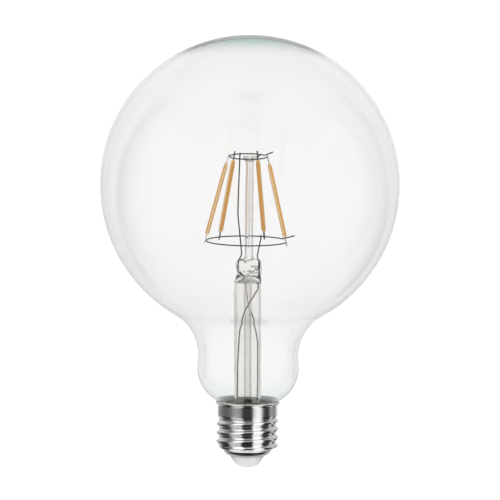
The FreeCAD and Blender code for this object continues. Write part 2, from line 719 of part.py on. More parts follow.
def make_driver():
    """The round driver board on the insulator, its parts, and the two leads to the cap."""
    board = doc.addObject("Part::Cylinder", "board_disc")
    board.setExpression("Radius", bound("board_radius"))
    board.setExpression("Height", bound("board_thickness"))
    board.setExpression("Placement.Base.z", bound(INSULATOR_TOP))
    piece(board, "driver_board")
    for label, side in (("rectifier", -1), ("chip", 1)):
        block = doc.addObject("Part::Box", label + "_block")
        block.setExpression("Length", bound(f"{label}_width"))
        block.setExpression("Width", bound(f"{label}_length"))
        block.setExpression("Height", bound(f"{label}_height"))
        block.setExpression("Placement.Base.x", bound(f"{side} * part_offset - {label}_width / 2"))
        block.setExpression("Placement.Base.y", bound(f"-{label}_length / 2"))
        block.setExpression("Placement.Base.z", bound(BOARD_TOP))
        piece(block, {"rectifier": "bridge_rectifier", "chip": "driver_chip"}[label])
    can = doc.addObject("Part::Cylinder", "capacitor_can")
    can.setExpression("Radius", bound("capacitor_radius"))
    can.setExpression("Height", bound("capacitor_length"))
    can.setExpression("Placement.Base.y", bound("-part_offset"))
    can.setExpression("Placement.Base.z", bound(BOARD_TOP))
    piece(can, "smoothing_capacitor")
    resistor = doc.addObject("Part::Cylinder", "resistor_rod")
    resistor.setExpression("Radius", bound("resistor_radius"))
    resistor.setExpression("Height", bound("resistor_length"))
    resistor.Placement.Rotation = FreeCAD.Rotation(FreeCAD.Vector(0, 1, 0), 90)
    resistor.setExpression("Placement.Base.x", bound("-resistor_length / 2"))
    resistor.setExpression("Placement.Base.y", bound("part_offset"))
    resistor.setExpression("Placement.Base.z", bound(f"{BOARD_TOP} + resistor_radius"))
    piece(resistor, "fuse_resistor")
    contact_run = [
        FreeCAD.Vector(0, 0, value(INSULATOR_TOP)),
        FreeCAD.Vector(0, 0, value("contact_sheet")),
    ]
    thin = value("support_wire")
    wire_piece("contact_lead", rounded_path(contact_run, thin * 2), thin)
    # from the board's edge up to the shell's wall, at the front right
    wall = value("thread_root_radius - shell_wall") - corner_reach(thin)
    edge = value("board_radius") * 0.82
    heading = FreeCAD.Vector(1, -1, 0).normalize()
    shell_run = []
    for reach, share in ((edge, 0), (edge, 3), (wall, 6), (wall, 12)):
        shell_run.append(heading * reach + FreeCAD.Vector(0, 0, value(BOARD_TOP) + thin * share))
    wire_piece("shell_lead", rounded_path(shell_run, thin * 2), thin)


def check_and_write():
    """Stop on any failed feature or empty shape, then write one file for each piece."""
    doc.recompute()
    for obj in doc.Objects:
        if "Invalid" in obj.State or "Error" in obj.State:
            raise RuntimeError(f"{obj.Name} failed: {obj.State}")
    for obj in pieces:
        if obj.Shape.isNull() or not obj.Shape.isValid():
            raise RuntimeError(f"{obj.Label} has no good shape")
    os.makedirs("parts", exist_ok=True)
    for obj in pieces:
        obj.Shape.exportStep(f"parts/{obj.Label}.step")
        print(f"{obj.Label}: {len(obj.Shape.Solids)} solid, {obj.Shape.Volume:.2f} mm3")


make_globe()
make_hoop("upper")
make_hoop("lower")
make_leads()
make_exhaust_tube()
make_stem_post()
doc.recompute()
make_support()
wire_shapes = [p.Shape for p in pieces if p.Label.startswith(("inner_lead", "seal_wire"))]
make_stem_flare(wire_shapes)
for strip in range(1, len(STRIP_ANGLES) + 1):
    make_strip(strip)
make_screw_shell()
make_insulator()
make_contact()
make_cement()
make_driver()
check_and_write()
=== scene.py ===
# %% [markdown]
# # A clear globe bulb with four light strips
# The fixed model gives the size and place of every piece. This script dresses it: blown glass, a
# pinched glass stem, bent wires, coated light strips and a rolled screw cap.
# Lengths of the bulb are written in millimetres and turned to metres where a mesh is made. The
# studio round it is in metres.

# %% Load the frame
import math

import bmesh
import bpy
import numpy as np
from mathutils import Matrix, Vector, noise


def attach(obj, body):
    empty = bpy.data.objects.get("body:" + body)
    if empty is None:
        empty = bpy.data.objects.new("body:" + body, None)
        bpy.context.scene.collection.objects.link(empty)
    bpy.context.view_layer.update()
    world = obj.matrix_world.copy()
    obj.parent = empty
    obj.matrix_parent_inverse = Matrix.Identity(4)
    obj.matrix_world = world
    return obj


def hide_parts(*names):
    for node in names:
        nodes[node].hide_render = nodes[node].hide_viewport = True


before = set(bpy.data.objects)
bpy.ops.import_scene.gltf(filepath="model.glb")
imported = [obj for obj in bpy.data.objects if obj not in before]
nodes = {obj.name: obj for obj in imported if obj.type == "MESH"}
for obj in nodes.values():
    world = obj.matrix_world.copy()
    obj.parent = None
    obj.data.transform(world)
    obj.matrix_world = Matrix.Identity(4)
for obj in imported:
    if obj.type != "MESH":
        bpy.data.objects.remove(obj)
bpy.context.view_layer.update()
scene = bpy.context.scene
MM = 0.001

# %% [markdown]
# ## From points to a finished piece
# A bulb is mostly turned and drawn shapes, so every piece starts as points and faces. Modelling each
# by hand or with modifiers would work too, but points put every wall exactly where it is wanted.


# %% Make and register a piece
SAME_POINT = 1e-7


def mesh_object(name, verts, faces, edges=()):
    """A linked object from millimetre points."""
    mesh = bpy.data.meshes.new(name)
    mesh.from_pydata([(x * MM, y * MM, z * MM) for x, y, z in verts], list(edges), faces)
    obj = bpy.data.objects.new(name, mesh)
    scene.collection.objects.link(obj)
    return obj


def register(obj, material, replaces=(), smooth=True):
    work = bmesh.new()
    work.from_mesh(obj.data)
    bmesh.ops.remove_doubles(work, verts=work.verts, dist=SAME_POINT)
    bmesh.ops.recalc_face_normals(work, faces=work.faces)
    work.to_mesh(obj.data)
    work.free()
    if smooth:
        obj.data.polygons.foreach_set("use_smooth", [True] * len(obj.data.polygons))
    obj.data.materials.clear()
    obj.data.materials.append(material)
    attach(obj, "root")
    if replaces:
        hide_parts(*replaces)
    return obj


def finish_mesh(name, shape, slot, replaces, smooth=True):
    """A registered piece from (verts, faces), in the finish that its slot is named for."""
    obj = mesh_object(name, *shape)
    obj.data.validate()
    return register(obj, FINISHES[slot], replaces, smooth)


print("points closer than", SAME_POINT, "m are merged")

# %% [markdown]
# ## Lofts and lathes
# A glass blower and a metal spinner both turn a profile round an axis, and the same profile is the
# shortest description here. A loft joins any rings with equal counts of points. A lathe is a loft of
# circles, and each end on the axis becomes a single pole. A Screw modifier could turn a profile as
# well, but its poles would have to be merged afterwards.


# %% Circles
def arc(cx, cz, radius, start, end, count):
    """Points on a circle between two angles in degrees, both ends included."""
    angles = np.radians(np.linspace(start, end, count))
    return [(cx + radius * math.cos(a), cz + radius * math.sin(a)) for a in angles]


def ring(radius, z, segments):
    """A level circle of points round the axis."""
    turn = 2 * math.pi / segments
    return [(radius * math.cos(j * turn), radius * math.sin(j * turn), z) for j in range(segments)]


print("a quarter arc ends at", arc(0, 0, 1, 0, 90, 3)[-1])


# %% Lofts
def loft(rings, cap_start=None, cap_end=None):
    """Join closed rings of points into faces. A cap is one middle point that closes an end."""
    count = len(rings[0])
    verts = [tuple(p) for points in rings for p in points]
    faces = []
    for i in range(len(rings) - 1):
        for j in range(count):
            k = (j + 1) % count
            faces.append((i * count + j, i * count + k, (i + 1) * count + k, (i + 1) * count + j))
    for middle, first in ((cap_start, 0), (cap_end, (len(rings) - 1) * count)):
        if middle is not None:
            verts.append(tuple(middle))
            last = len(verts) - 1
            faces += [(first + (j + 1) % count, first + j, last) for j in range(count)]
    return verts, faces


def lathe(profile, segments):
    """Turn (radius, height) points round the axis. Ends on the axis become poles, others join up."""
    start_pole = profile[0][0] < 1e-6
    end_pole = profile[-1][0] < 1e-6
    body = profile[start_pole : len(profile) - end_pole]
    rings = [ring(r, z, segments) for r, z in body]
    if not start_pole and not end_pole:
        rings.append(rings[0])
    cap_start = (0, 0, profile[0][1]) if start_pole else None
    cap_end = (0, 0, profile[-1][1]) if end_pole else None
    return loft(rings, cap_start, cap_end)


def join(*parts):
    """Several (verts, faces) shapes as one."""
    verts, faces = [], []
    for part_verts, part_faces in parts:
        shift = len(verts)
        verts += part_verts
        faces += [tuple(i + shift for i in face) for face in part_faces]
    return verts, faces


print("a test cone has", len(lathe([(0, 0), (1, 0), (0, 1)], 8)[1]), "faces")

# %% [markdown]
# ## Node trees in short lines
# Finishes, wires and the thread are all node trees. Nodes could be placed and linked one call at a
# time, which hides the idea behind dozens of lines. With one helper that makes a node and feeds its
# sockets, from a number or from another node, each line reads like a sentence.


# %% Nodes and sockets
def feed(tree, socket, source):
    """Give a socket a plain value, or a link from another node's output."""
    if isinstance(source, bpy.types.NodeSocket):
        tree.links.new(source, socket)
    else:
        socket.default_value = source


def add(tree, kind, **settings):
    """A node with its own settings and, under their names with _ for a space, its sockets."""
    node = tree.nodes.new(kind)
    for key, setting in settings.items():
        if hasattr(node, key):
            setattr(node, key, setting)
        else:
            feed(tree, node.inputs[key.replace("_", " ")], setting)
    return node


print("node helpers:", feed.__name__, add.__name__)


# %% Small sums and blends
def sum_up(tree, operation, *values, clamp=False):
    """The result of one math node."""
    node = add(tree, "ShaderNodeMath", operation=operation, use_clamp=clamp)
    for socket, value in zip(node.inputs, values):
        feed(tree, socket, value)
    return node.outputs[0]


def soft_step(tree, value, start, end):
    """0 at the start, 1 at the end and a smooth climb between them."""
    node = add(tree, "ShaderNodeMapRange", interpolation_type="SMOOTHSTEP")
    for label, source in (("Value", value), ("From Min", start), ("From Max", end)):
        feed(tree, node.inputs[label], source)
    return node.outputs["Result"]


def blend(tree, kind, factor, first, second):
    """A mix of two numbers (FLOAT) or colours (RGBA) by a factor."""
    return add(tree, "ShaderNodeMix", data_type=kind, Factor=factor, A=first, B=second).outputs["Result"]


print("sums and blends:", sum_up.__name__, soft_step.__name__, blend.__name__)


# %% Groups
def new_group(name, kind, inputs, outputs):
    """An empty group with the sockets that come in and go out.

    Inputs are (name, type, default) and outputs (name, type). A default of None is left as it is.
    """
    group = bpy.data.node_groups.new(name, kind)
    for label, socket_type, default in inputs:
        socket = group.interface.new_socket(
            name=label, in_out="INPUT", socket_type="NodeSocket" + socket_type
        )
        if default is not None:
            socket.default_value = default
    for label, socket_type in outputs:
        group.interface.new_socket(name=label, in_out="OUTPUT", socket_type="NodeSocket" + socket_type)
    return group, group.nodes.new("NodeGroupInput").outputs, group.nodes.new("NodeGroupOutput").inputs


print("group helper:", new_group.__name__)

# %% [markdown]
# ## Shared effects
# No made surface has one even colour: coatings drift in thickness and sheet metal carries fine drawing
# lines and small dents. A photograph laid over the piece could show both, but a noise in the piece's
# own coordinates needs no image and never stretches. Two groups give all finishes these effects: a
# mottling between two colours, and a height for a bump.


# %% Mottling
def mottling_group():
    """A base colour that drifts towards a second colour in soft patches."""
    group, given, out = new_group(
        "surface_variation",
        "ShaderNodeTree",
        [
            ("Color", "Color", (0.5, 0.5, 0.5, 1)),
            ("Second", "Color", (0.4, 0.4, 0.4, 1)),
            ("Scale", "Float", 200.0),
            ("Amount", "Float", 0.5),
        ],
        [("Color", "Color")],
    )
    where = add(group, "ShaderNodeTexCoord").outputs["Object"]
    cloud = add(
        group, "ShaderNodeTexNoise", Vector=where, Scale=given["Scale"], Detail=5.0, Roughness=0.6
    )
    ramp = add(group, "ShaderNodeValToRGB", Fac=cloud.outputs["Fac"])
    for stop, position in zip(ramp.color_ramp.elements, (0.35, 0.68)):
        stop.position = position
    share = sum_up(group, "MULTIPLY", ramp.outputs["Color"], given["Amount"])
    feed(group, out["Color"], blend(group, "RGBA", share, given["Color"], given["Second"]))
    return group


MOTTLING = mottling_group()
print("group:", MOTTLING.name)


# %% Scratches and dents
def scratch_group():
    """Fine scratches along one way and soft dents, as a height for a bump."""
    group, given, out = new_group(
        "fine_scratches",
        "ShaderNodeTree",
        [("Scale", "Float", 900.0), ("Stretch", "Float", 0.05), ("Dents", "Float", 0.5)],
        [("Height", "Float")],
    )
    where = add(group, "ShaderNodeTexCoord").outputs["Object"]
    parts = add(group, "ShaderNodeSeparateXYZ", Vector=where).outputs
    upright = sum_up(group, "MULTIPLY", parts["Z"], given["Stretch"])
    drawn = add(group, "ShaderNodeCombineXYZ", X=parts["X"], Y=parts["Y"], Z=upright).outputs["Vector"]
    lines = add(group, "ShaderNodeTexNoise", Vector=drawn, Scale=given["Scale"], Detail=3.0)
    dents = add(group, "ShaderNodeTexNoise", Vector=where, Scale=260.0, Detail=2.0)
    weighed = sum_up(group, "MULTIPLY", dents.outputs["Fac"], given["Dents"])
    feed(group, out["Height"], sum_up(group, "ADD", lines.outputs["Fac"], weighed))
    return group


SCRATCHES = scratch_group()
print("group:", SCRATCHES.name)

# %% [markdown]
# ## The colour of the glass
# Clear soda glass is sea-green where light crosses much of it, which is at the crown, where the sheet
# is seen edge-on, and low in the bowl. A volume that absorbs light gives this colour by depth. It is
# weak in a thin wall, so a ramp by height adds a little of the same colour where the real bulb has it.

# %% Tint by height
TINT_SPAN = 200.0
CLEAR = (1.0, 0.995, 0.995)
TINT_BANDS = [
    (26.0, CLEAR),
    (29.0, (0.94, 0.975, 0.965)),
    (34.0, (0.985, 0.995, 0.99)),
    (50.0, CLEAR),
    (60.0, (0.985, 0.997, 0.993)),
    (70.0, CLEAR),
    (172.0, CLEAR),
    (176.8, (0.995, 0.997, 0.996)),
    (178.4, (0.80, 0.945, 0.925)),
    (181.0, (0.76, 0.91, 0.885)),
]


def tint_group():
    """The glass colour at each height, from a ramp over the first 200 mm."""
    group, _, out = new_group("tint_bands", "ShaderNodeTree", [], [("Color", "Color")])
    where = add(group, "ShaderNodeTexCoord").outputs["Object"]
    height = add(group, "ShaderNodeSeparateXYZ", Vector=where).outputs["Z"]
    ramp = add(group, "ShaderNodeValToRGB", Fac=sum_up(group, "DIVIDE", height, TINT_SPAN * MM))
    stops = ramp.color_ramp.elements
    for stop, (level, color) in zip(stops, (TINT_BANDS[0], TINT_BANDS[-1])):
        stop.position = level / TINT_SPAN
        stop.color = (*color, 1)
    for level, color in TINT_BANDS[1:-1]:
        stops.new(level / TINT_SPAN).color = (*color, 1)
    feed(group, out["Color"], ramp.outputs["Color"])
    return group


TINT = tint_group()
print("tint bands:", len(TINT_BANDS))

# %% [markdown]
# ## Glass finishes
# The globe is thin and nearly colourless. The stem is another glass, which melts sooner and looks warm
# grey in the mass. Both are a Principled shader with plain transmission, because a mix with a
# transparent shader would lose the bent outlines that make glass look solid. Slow waves in the normal
# stand for the ripple of blown walls, and the volume gives the colour by depth.


# %% Shader helpers
def new_material(name, **values):
    """A material with a Principled shader whose even numbers are set from the names given."""
    material = bpy.data.materials.new(name)
    material.use_nodes = True
    shader = material.node_tree.nodes["Principled BSDF"]
    for key, setting in values.items():
        shader.inputs[key.replace("_", " ")].default_value = setting
    return material, material.node_tree, shader


def mottled(tree, color, second, scale, amount):
    """A colour that the mottling group spreads over a surface."""
    shade = add(tree, "ShaderNodeGroup", node_tree=MOTTLING, Scale=scale, Amount=amount)
    feed(tree, shade.inputs["Color"], (*color, 1))
    feed(tree, shade.inputs["Second"], (*second, 1))
    return shade.outputs["Color"]


print("shader helpers:", new_material.__name__, mottled.__name__)

# %% Glass
DRIFT, DRIFT_SCALE, DRIFT_SHARE = 0.975, 30.0, 0.6
GLASS_INDEX = 1.5


def glass(name, tint, density, color, ripple, ripple_scale, zoned=False):
    """Clear glass: its colour comes from the depth that light crosses, and by height if zoned."""
    material, tree, shader = new_material(
        name, Roughness=0.0, IOR=GLASS_INDEX, Transmission_Weight=1.0, Metallic=0.0
    )
    shade = mottled(tree, color, [c * DRIFT for c in color], DRIFT_SCALE, DRIFT_SHARE)
    if zoned:
        zone = add(tree, "ShaderNodeGroup", node_tree=TINT).outputs["Color"]
        zones = add(tree, "ShaderNodeMix", data_type="RGBA", blend_type="MULTIPLY", Factor=1.0)
        feed(tree, zones.inputs["A"], shade)
        feed(tree, zones.inputs["B"], zone)
        shade = zones.outputs["Result"]
    where = add(tree, "ShaderNodeTexCoord").outputs["Object"]
    waves = add(tree, "ShaderNodeTexNoise", Vector=where, Scale=ripple_scale, Detail=1.0)
    lift = add(tree, "ShaderNodeBump", Strength=ripple, Distance=0.001, Height=waves.outputs["Fac"])
    depth = add(tree, "ShaderNodeVolumeAbsorption", Color=(*tint, 1), Density=density)
    feed(tree, shader.inputs["Base Color"], shade)
    feed(tree, shader.inputs["Normal"], lift.outputs["Normal"])
    feed(tree, tree.nodes["Material Output"].inputs["Volume"], depth.outputs["Volume"])
    return material


FINISHES = {
    "clear_glass": glass(
        "clear_glass", (0.20, 0.66, 0.58), 13.0, (1, 1, 1), ripple=0.03, ripple_scale=22.0, zoned=True
    ),
    "stem_glass": glass(
        "stem_glass", (0.70, 0.62, 0.50), 26.0, (0.985, 0.98, 0.965), ripple=0.10, ripple_scale=180.0
    ),
}
print("glass finishes:", list(FINISHES))

# %% [markdown]
# ## Coated and metal finishes
# Phosphor is a rubbery yellow bead, the slip under it is fired ceramic, the wires are dull nickel and
# the cap is bright plated sheet. A shader graph for each would repeat itself, because they differ in
# numbers and not in kind, so one function makes them all from tables. Black glass gets a pale edge
# colour where it is seen aslant, a painted reflection of the bright sides of the studio.


# %% Coated finishes
# range of facing over which the painted reflection at the edge fades in
PAINTED_SHEEN_FROM, PAINTED_SHEEN_TO = 0.43, 0.54
RELIEF_FINER = 4


def coated(name, color, second, scale=300.0, amount=0.6, bump=0.15, stretch=1.0, edge=None, **values):
    """A mottled colour with a faint relief. An edge colour, a painted reflection, shows where the surface is
    seen aslant.
    """
    material, tree, shader = new_material(name, **values)
    shade = mottled(tree, color, second, scale, amount)
    # painted reflection: the edge colour stands in for the bright studio sides mirrored where the surface is
    # seen aslant
    if edge:
        facing = add(tree, "ShaderNodeLayerWeight", Blend=0.5).outputs["Facing"]
        rim = soft_step(tree, facing, PAINTED_SHEEN_FROM, PAINTED_SHEEN_TO)
        shade = blend(tree, "RGBA", rim, shade, (*edge, 1))
    relief = add(tree, "ShaderNodeGroup", node_tree=SCRATCHES, Stretch=stretch)
    feed(tree, relief.inputs["Scale"], scale * RELIEF_FINER)
    lift = add(
        tree, "ShaderNodeBump", Strength=bump, Distance=0.0001, Height=relief.outputs["Height"]
    )
    feed(tree, shader.inputs["Base Color"], shade)
    feed(tree, shader.inputs["Normal"], lift.outputs["Normal"])
    return material


def make_finishes(table):
    """Every finish of a table, kept under its name."""
    for name, look in table.items():
        FINISHES[name] = coated(name, **look)
    print("finishes made:", list(table))


# %% Strip and wire finishes
STRIP_FINISHES = {
    "phosphor": dict(
        color=(0.95, 0.47, 0.075), second=(0.86, 0.38, 0.045), scale=900.0, amount=0.7, bump=0.4,
        Roughness=0.42,
    ),
    "ceramic_slip": dict(
        color=(1.0, 0.76, 0.42), second=(0.98, 0.72, 0.37), scale=900.0, bump=0.2, Roughness=0.5
    ),
    "clip_metal": dict(
        color=(0.42, 0.42, 0.44), second=(0.25, 0.25, 0.26), scale=700.0, Metallic=1.0, Roughness=0.35
    ),
    "wire_metal": dict(
        color=(0.060, 0.050, 0.044), second=(0.035, 0.029, 0.026), scale=500.0, amount=0.8,
        Metallic=0.6, Roughness=0.45,
    ),
    "lead_copper": dict(
        color=(0.40, 0.30, 0.20), second=(0.24, 0.17, 0.11), scale=500.0, amount=0.8,
        Metallic=0.6, Roughness=0.45,
    ),
}
make_finishes(STRIP_FINISHES)

# %% Cap and driver finishes
CAP_FINISHES = {
    "cap_nickel": dict(
        color=(0.93, 0.93, 0.925), second=(0.85, 0.85, 0.845), scale=160.0, amount=0.5, bump=0.05,
        stretch=8.0, Metallic=1.0, Roughness=0.15,
    ),
    # the pale edge colour of the black glass is a painted reflection of the bright studio sides
    "black_glass": dict(
        color=(0.02, 0.02, 0.022), second=(0.035, 0.035, 0.037), bump=0.1, edge=(0.70, 0.70, 0.70),
        Roughness=0.12,
    ),
    "contact_metal": dict(
        color=(0.86, 0.86, 0.86), second=(0.78, 0.78, 0.78), bump=0.2, Metallic=1.0, Roughness=0.5
    ),
    "cement": dict(
        color=(0.95, 0.92, 0.86), second=(0.50, 0.45, 0.37), scale=700.0, amount=0.8, bump=0.8,
        Roughness=0.85,
    ),
    "board": dict(color=(0.84, 0.82, 0.75), second=(0.78, 0.75, 0.67), bump=0.1, Roughness=0.45),
    "component_black": dict(
        color=(0.03, 0.03, 0.032), second=(0.05, 0.05, 0.052), scale=600.0, bump=0.3, Roughness=0.6
    ),
    "capacitor_can": dict(
        color=(0.05, 0.06, 0.16), second=(0.03, 0.04, 0.11), bump=0.1, Roughness=0.35
    ),
    "resistor_body": dict(
        color=(0.45, 0.36, 0.22), second=(0.36, 0.28, 0.16), scale=500.0, bump=0.2, Roughness=0.5
    ),
}
make_finishes(CAP_FINISHES)

# %% [markdown]
# ## The blown globe
# The envelope is blown in one go: a sphere, a concave throat, a short rounded bowl and a straight neck
# that goes into the cap. A sphere and a cylinder joined by a boolean would leave a hard line at the
# throat, so the outline is arcs that meet at one slope, turned round the axis.

# %% Outline of the globe
SPHERE_Z, SPHERE_R = 118.2, 62.5
THROAT_X, THROAT_Z, THROAT_R = 41.05, 46.64, 20.0
BOWL_X, BOWL_Z, BOWL_R = 5.9, 41.66, 15.5
NECK_R, NECK_Z = 11.6, 18.5
GLOBE_STEPS, GLOBE_SEGMENTS = 120, 224


def globe_outline(steps):
    """The outer wall from pole to rim."""
    toward = math.degrees(math.atan2(THROAT_Z - SPHERE_Z, THROAT_X))
    foot = -math.degrees(math.acos((NECK_R - BOWL_X) / BOWL_R))
    points = arc(0, SPHERE_Z, SPHERE_R, 90, toward, steps)
    points += arc(THROAT_X, THROAT_Z, THROAT_R, 180 + toward, 180, steps // 3)[1:]
    points += arc(BOWL_X, BOWL_Z, BOWL_R, 0, foot, steps // 4)
    points += [(NECK_R, z) for z in np.linspace(points[-1][1], NECK_Z, 5)[1:]]
    points[0] = (0.0, points[0][1])
    return points


globe_outer = globe_outline(GLOBE_STEPS)
print("outer wall points:", len(globe_outer))

# %% [markdown]
# ## The wall of the globe
# Hot glass sags and gathers, so a real wall is thin round the middle and thicker at the crown and the
# throat. Solidify would give one thickness. A table by height gives the true one, and it is averaged
# over a few millimetres, because a sudden change of thickness acts as a prism and shows as a ring.

# %% Inner wall and globe
# height and thickness of the wall there
WALL = [
    (18.5, 0.60), (27.0, 0.60), (33.0, 0.66), (41.0, 0.60), (47.0, 0.66), (53.0, 0.74),
    (59.0, 0.74), (66.0, 0.66), (75.0, 0.60), (120.0, 0.60), (150.0, 0.60), (163.0, 0.61),
    (170.0, 0.65), (175.0, 0.71), (178.0, 0.96), (181.0, 1.34),
]
WALL_SPREAD = 5


def inner_wall(points):
    """The outer wall moved inwards by the glass thickness of its height."""
    line = np.array(points)
    run = np.concatenate([[0], np.cumsum(np.linalg.norm(np.diff(line, axis=0), axis=1))])
    along = np.column_stack([np.gradient(line[:, 0], run), np.gradient(line[:, 1], run)])
    along[0] = (1, 0)
    along /= np.linalg.norm(along, axis=1)[:, None]
    inward = np.column_stack([along[:, 1], -along[:, 0]])
    shifts = np.linspace(-WALL_SPREAD, WALL_SPREAD, 2 * WALL_SPREAD + 1)
    depth = np.mean([np.interp(line[:, 1] + shift, *zip(*WALL)) for shift in shifts], axis=0)
    moved = line + inward * depth[:, None]
    moved[0, 0] = 0.0
    moved[-1, 1] = NECK_Z
    return [tuple(p) for p in moved]


globe_inner = inner_wall(globe_outer)
globe_shape = lathe(globe_outer + globe_inner[::-1], GLOBE_SEGMENTS)
globe = finish_mesh("globe_glass", globe_shape, "clear_glass", ["globe"])
print("globe faces:", len(globe.data.polygons))
print("wall at the crown in mm:", round(globe_outer[0][1] - globe_inner[0][1], 2))

# %% [markdown]
# ## The outside of the glass stem
# Post, pinch, flare tube and exhaust tube are melted into one piece of glass. The post is round with a
# button on top, and the pinch is flat, because jaws squeeze it round the wires while it is soft.
# Separate solids would show false seams inside clear glass, so one loft of rounded sections runs down
# the whole outside. A cubic through the table keeps it smooth, and slow noise adds the lumps.

# %% Sections of the stem
# height, half width, half depth, squareness, lumps, sideways lean
STEM_OUTSIDE = [
    (130.50, 1.2, 1.2, 2, 0, -0.2),
    (130.38, 2.1, 2.1, 2, 0, -0.2),
    (129.95, 2.75, 2.75, 2, 0.09, -0.2),
    (129.30, 2.95, 2.95, 2, 0.09, -0.2),
    (128.70, 2.75, 2.75, 2, 0.09, -0.2),
    (128.30, 2.2, 2.2, 2, 0, -0.2),
    (128.05, 1.78, 1.78, 2, 0, -0.2),
    (127.2, 1.66, 1.66, 2, 0, -0.2),
    (120.0, 1.68, 1.68, 2, 0.02, -0.2),
    (112.0, 1.70, 1.66, 2, 0.03, -0.2),
    (104.0, 1.66, 1.68, 2, 0.03, -0.2),
    (96.0, 1.70, 1.68, 2, 0.02, -0.15),
    (90.5, 1.72, 1.70, 2, 0.02, -0.1),
    (88.4, 1.78, 1.74, 2, 0.03, -0.1),
    (87.7, 1.95, 1.85, 2, 0.08, -0.1),
    (87.42, 2.6, 1.95, 2.2, 0.12, -0.1),
    (87.3, 3.7, 2.0, 2.6, 0.10, -0.1),
    (87.05, 4.6, 2.1, 3.0, 0.06, -0.1),
    (86.4, 5.0, 2.3, 3.6, 0.10, -0.1),
    (85.0, 5.0, 2.45, 3.8, 0.16, -0.1),
    (83.5, 4.95, 2.5, 3.8, 0.18, -0.1),
    (82.0, 5.0, 2.5, 3.8, 0.18, -0.12),
    (81.0, 5.05, 2.6, 3.6, 0.16, -0.18),
    (80.2, 5.1, 2.9, 3.2, 0.10, -0.25),
    (79.5, 5.3, 3.7, 2.6, 0.04, -0.32),
    (78.8, 5.5, 4.7, 2.2, 0.02, -0.38),
    (77.9, 5.63, 5.45, 2, 0.01, -0.45),
    (76.8, 5.65, 5.65, 2, 0, -0.5),
    (68.0, 5.65, 5.65, 2, 0, -0.5),
    (60.0, 5.62, 5.62, 2, 0, -0.42),
    (50.0, 5.65, 5.65, 2, 0, -0.3),
    (40.0, 5.65, 5.65, 2, 0, -0.15),
    (30.0, 5.6, 5.6, 2, 0, -0.05),
]
print("sections in the table:", len(STEM_OUTSIDE))

# %% Outside of the stem
STEM_SEGMENTS, STEM_STEP = 72, 0.8
LUMP_FINE = Vector((0.5, 0.5, 0.45))
LUMP_PLACE = Vector((0, 5, 0))


def section(half_x, half_y, z, power, lump):
    """A rounded rectangle or ellipse: power 2 is an ellipse, higher is squarer."""
    points = []
    for j in range(STEM_SEGMENTS):
        a = 2 * math.pi * j / STEM_SEGMENTS
        c, s = math.cos(a), math.sin(a)
        x = half_x * math.copysign(abs(c) ** (2 / power), c)
        y = half_y * math.copysign(abs(s) ** (2 / power), s)
        swell = 1 + lump * noise.noise(Vector((x, y, z)) * LUMP_FINE + LUMP_PLACE)
        points.append((x * swell, y * swell, z))
    return points


def smooth_table(rows, step):
    """Rows resampled with a cubic through all of them, about a step apart along the surface."""
    values = np.array(rows, dtype=float)
    at = np.concatenate([[0], np.cumsum(np.hypot(np.diff(values[:, 0]), np.diff(values[:, 1])))])
    slopes = np.gradient(values, at, axis=0)
    result = []
    for i in range(len(rows) - 1):
        span = at[i + 1] - at[i]
        for t in np.arange(0, 1, 1 / max(1, math.ceil(span / step))):
            start = (2 * t**3 - 3 * t**2 + 1) * values[i] + (t**3 - 2 * t**2 + t) * slopes[i] * span
            end = (-2 * t**3 + 3 * t**2) * values[i + 1] + (t**3 - t**2) * slopes[i + 1] * span
            result.append(start + end)
    result.append(values[-1])
    return result


stem_rings = []
for z, half_x, half_y, power, lump, lean in smooth_table(STEM_OUTSIDE, STEM_STEP):
    stem_rings.append([(x + lean, y, z) for x, y, z in section(half_x, half_y, z, power, lump)])
print("sections along the outside:", len(stem_rings))

# %% [markdown]
# ## The flare and the exhaust tube
# The foot of the flare opens like a trumpet and is melted to the neck. Inside it hangs the thin tube
# through which the bulb was pumped out, sealed at its tip. The loft of the outside simply goes on:
# round the rim, up inside the flare, over the roof and down the thin tube, so the glass is one skin.
# The whole stem leans a little, and a table of shifts by height leans the inner rings with it.

# %% Inside of the flare
FLARE_R, FLARE_WALL, FLARE_ROUND, FLARE_RIM = 5.6, 0.75, 4.4, 10.95
FLARE_FOOT = NECK_Z + FLARE_WALL + FLARE_ROUND
ROOF_R, ROOF_Z, ROOF_RISE = FLARE_R - FLARE_WALL + 0.05, 77.2, 1.15
EXHAUST_R, EXHAUST_BORE = 1.6, 1.0
LEAN_HEIGHTS = [18.0, 30.0, 40.0, 50.0, 60.0, 68.0, 75.6]
LEAN_SHIFTS = [0.0, -0.05, -0.15, -0.3, -0.42, -0.5, -0.5]


def leaning_ring(radius, z, segments, forward=0.0):
    """A circle that is shifted sideways with the lean of the stem, and forward where asked."""
    lean = float(np.interp(z, LEAN_HEIGHTS, LEAN_SHIFTS))
    return [(x + lean, y + forward, z) for x, y, z in ring(radius, z, segments)]


trumpet = arc(FLARE_R + FLARE_ROUND, FLARE_FOOT, FLARE_ROUND, 180, 270, 10)
trumpet += [(FLARE_RIM, NECK_Z + FLARE_WALL), (FLARE_RIM, NECK_Z + 0.05)]
under = arc(FLARE_R + FLARE_ROUND, FLARE_FOOT, FLARE_ROUND + FLARE_WALL, 270, 180, 12)
roof = [(ROOF_R * math.cos(a), ROOF_Z + ROOF_RISE * math.sin(a)) for a in np.radians(np.linspace(0, 62, 9))]
roof += [(EXHAUST_R + 0.35, 78.2), (EXHAUST_R + 0.05, 77.7)]
shaft = [(EXHAUST_R, z) for z in (75.5, 68.0, 60.0, 50.0, 40.0, 30.0, 16.0)]
shaft += [(1.45, 14.2), (1.0, 13.1), (0.5, 12.65)]
for r, z in trumpet + under + roof + shaft:
    stem_rings.append(leaning_ring(r, z, STEM_SEGMENTS))
skin = loft(stem_rings, (0, 0, 130.55), (0, 0, 12.5))
print("stem skin faces:", len(skin[1]))

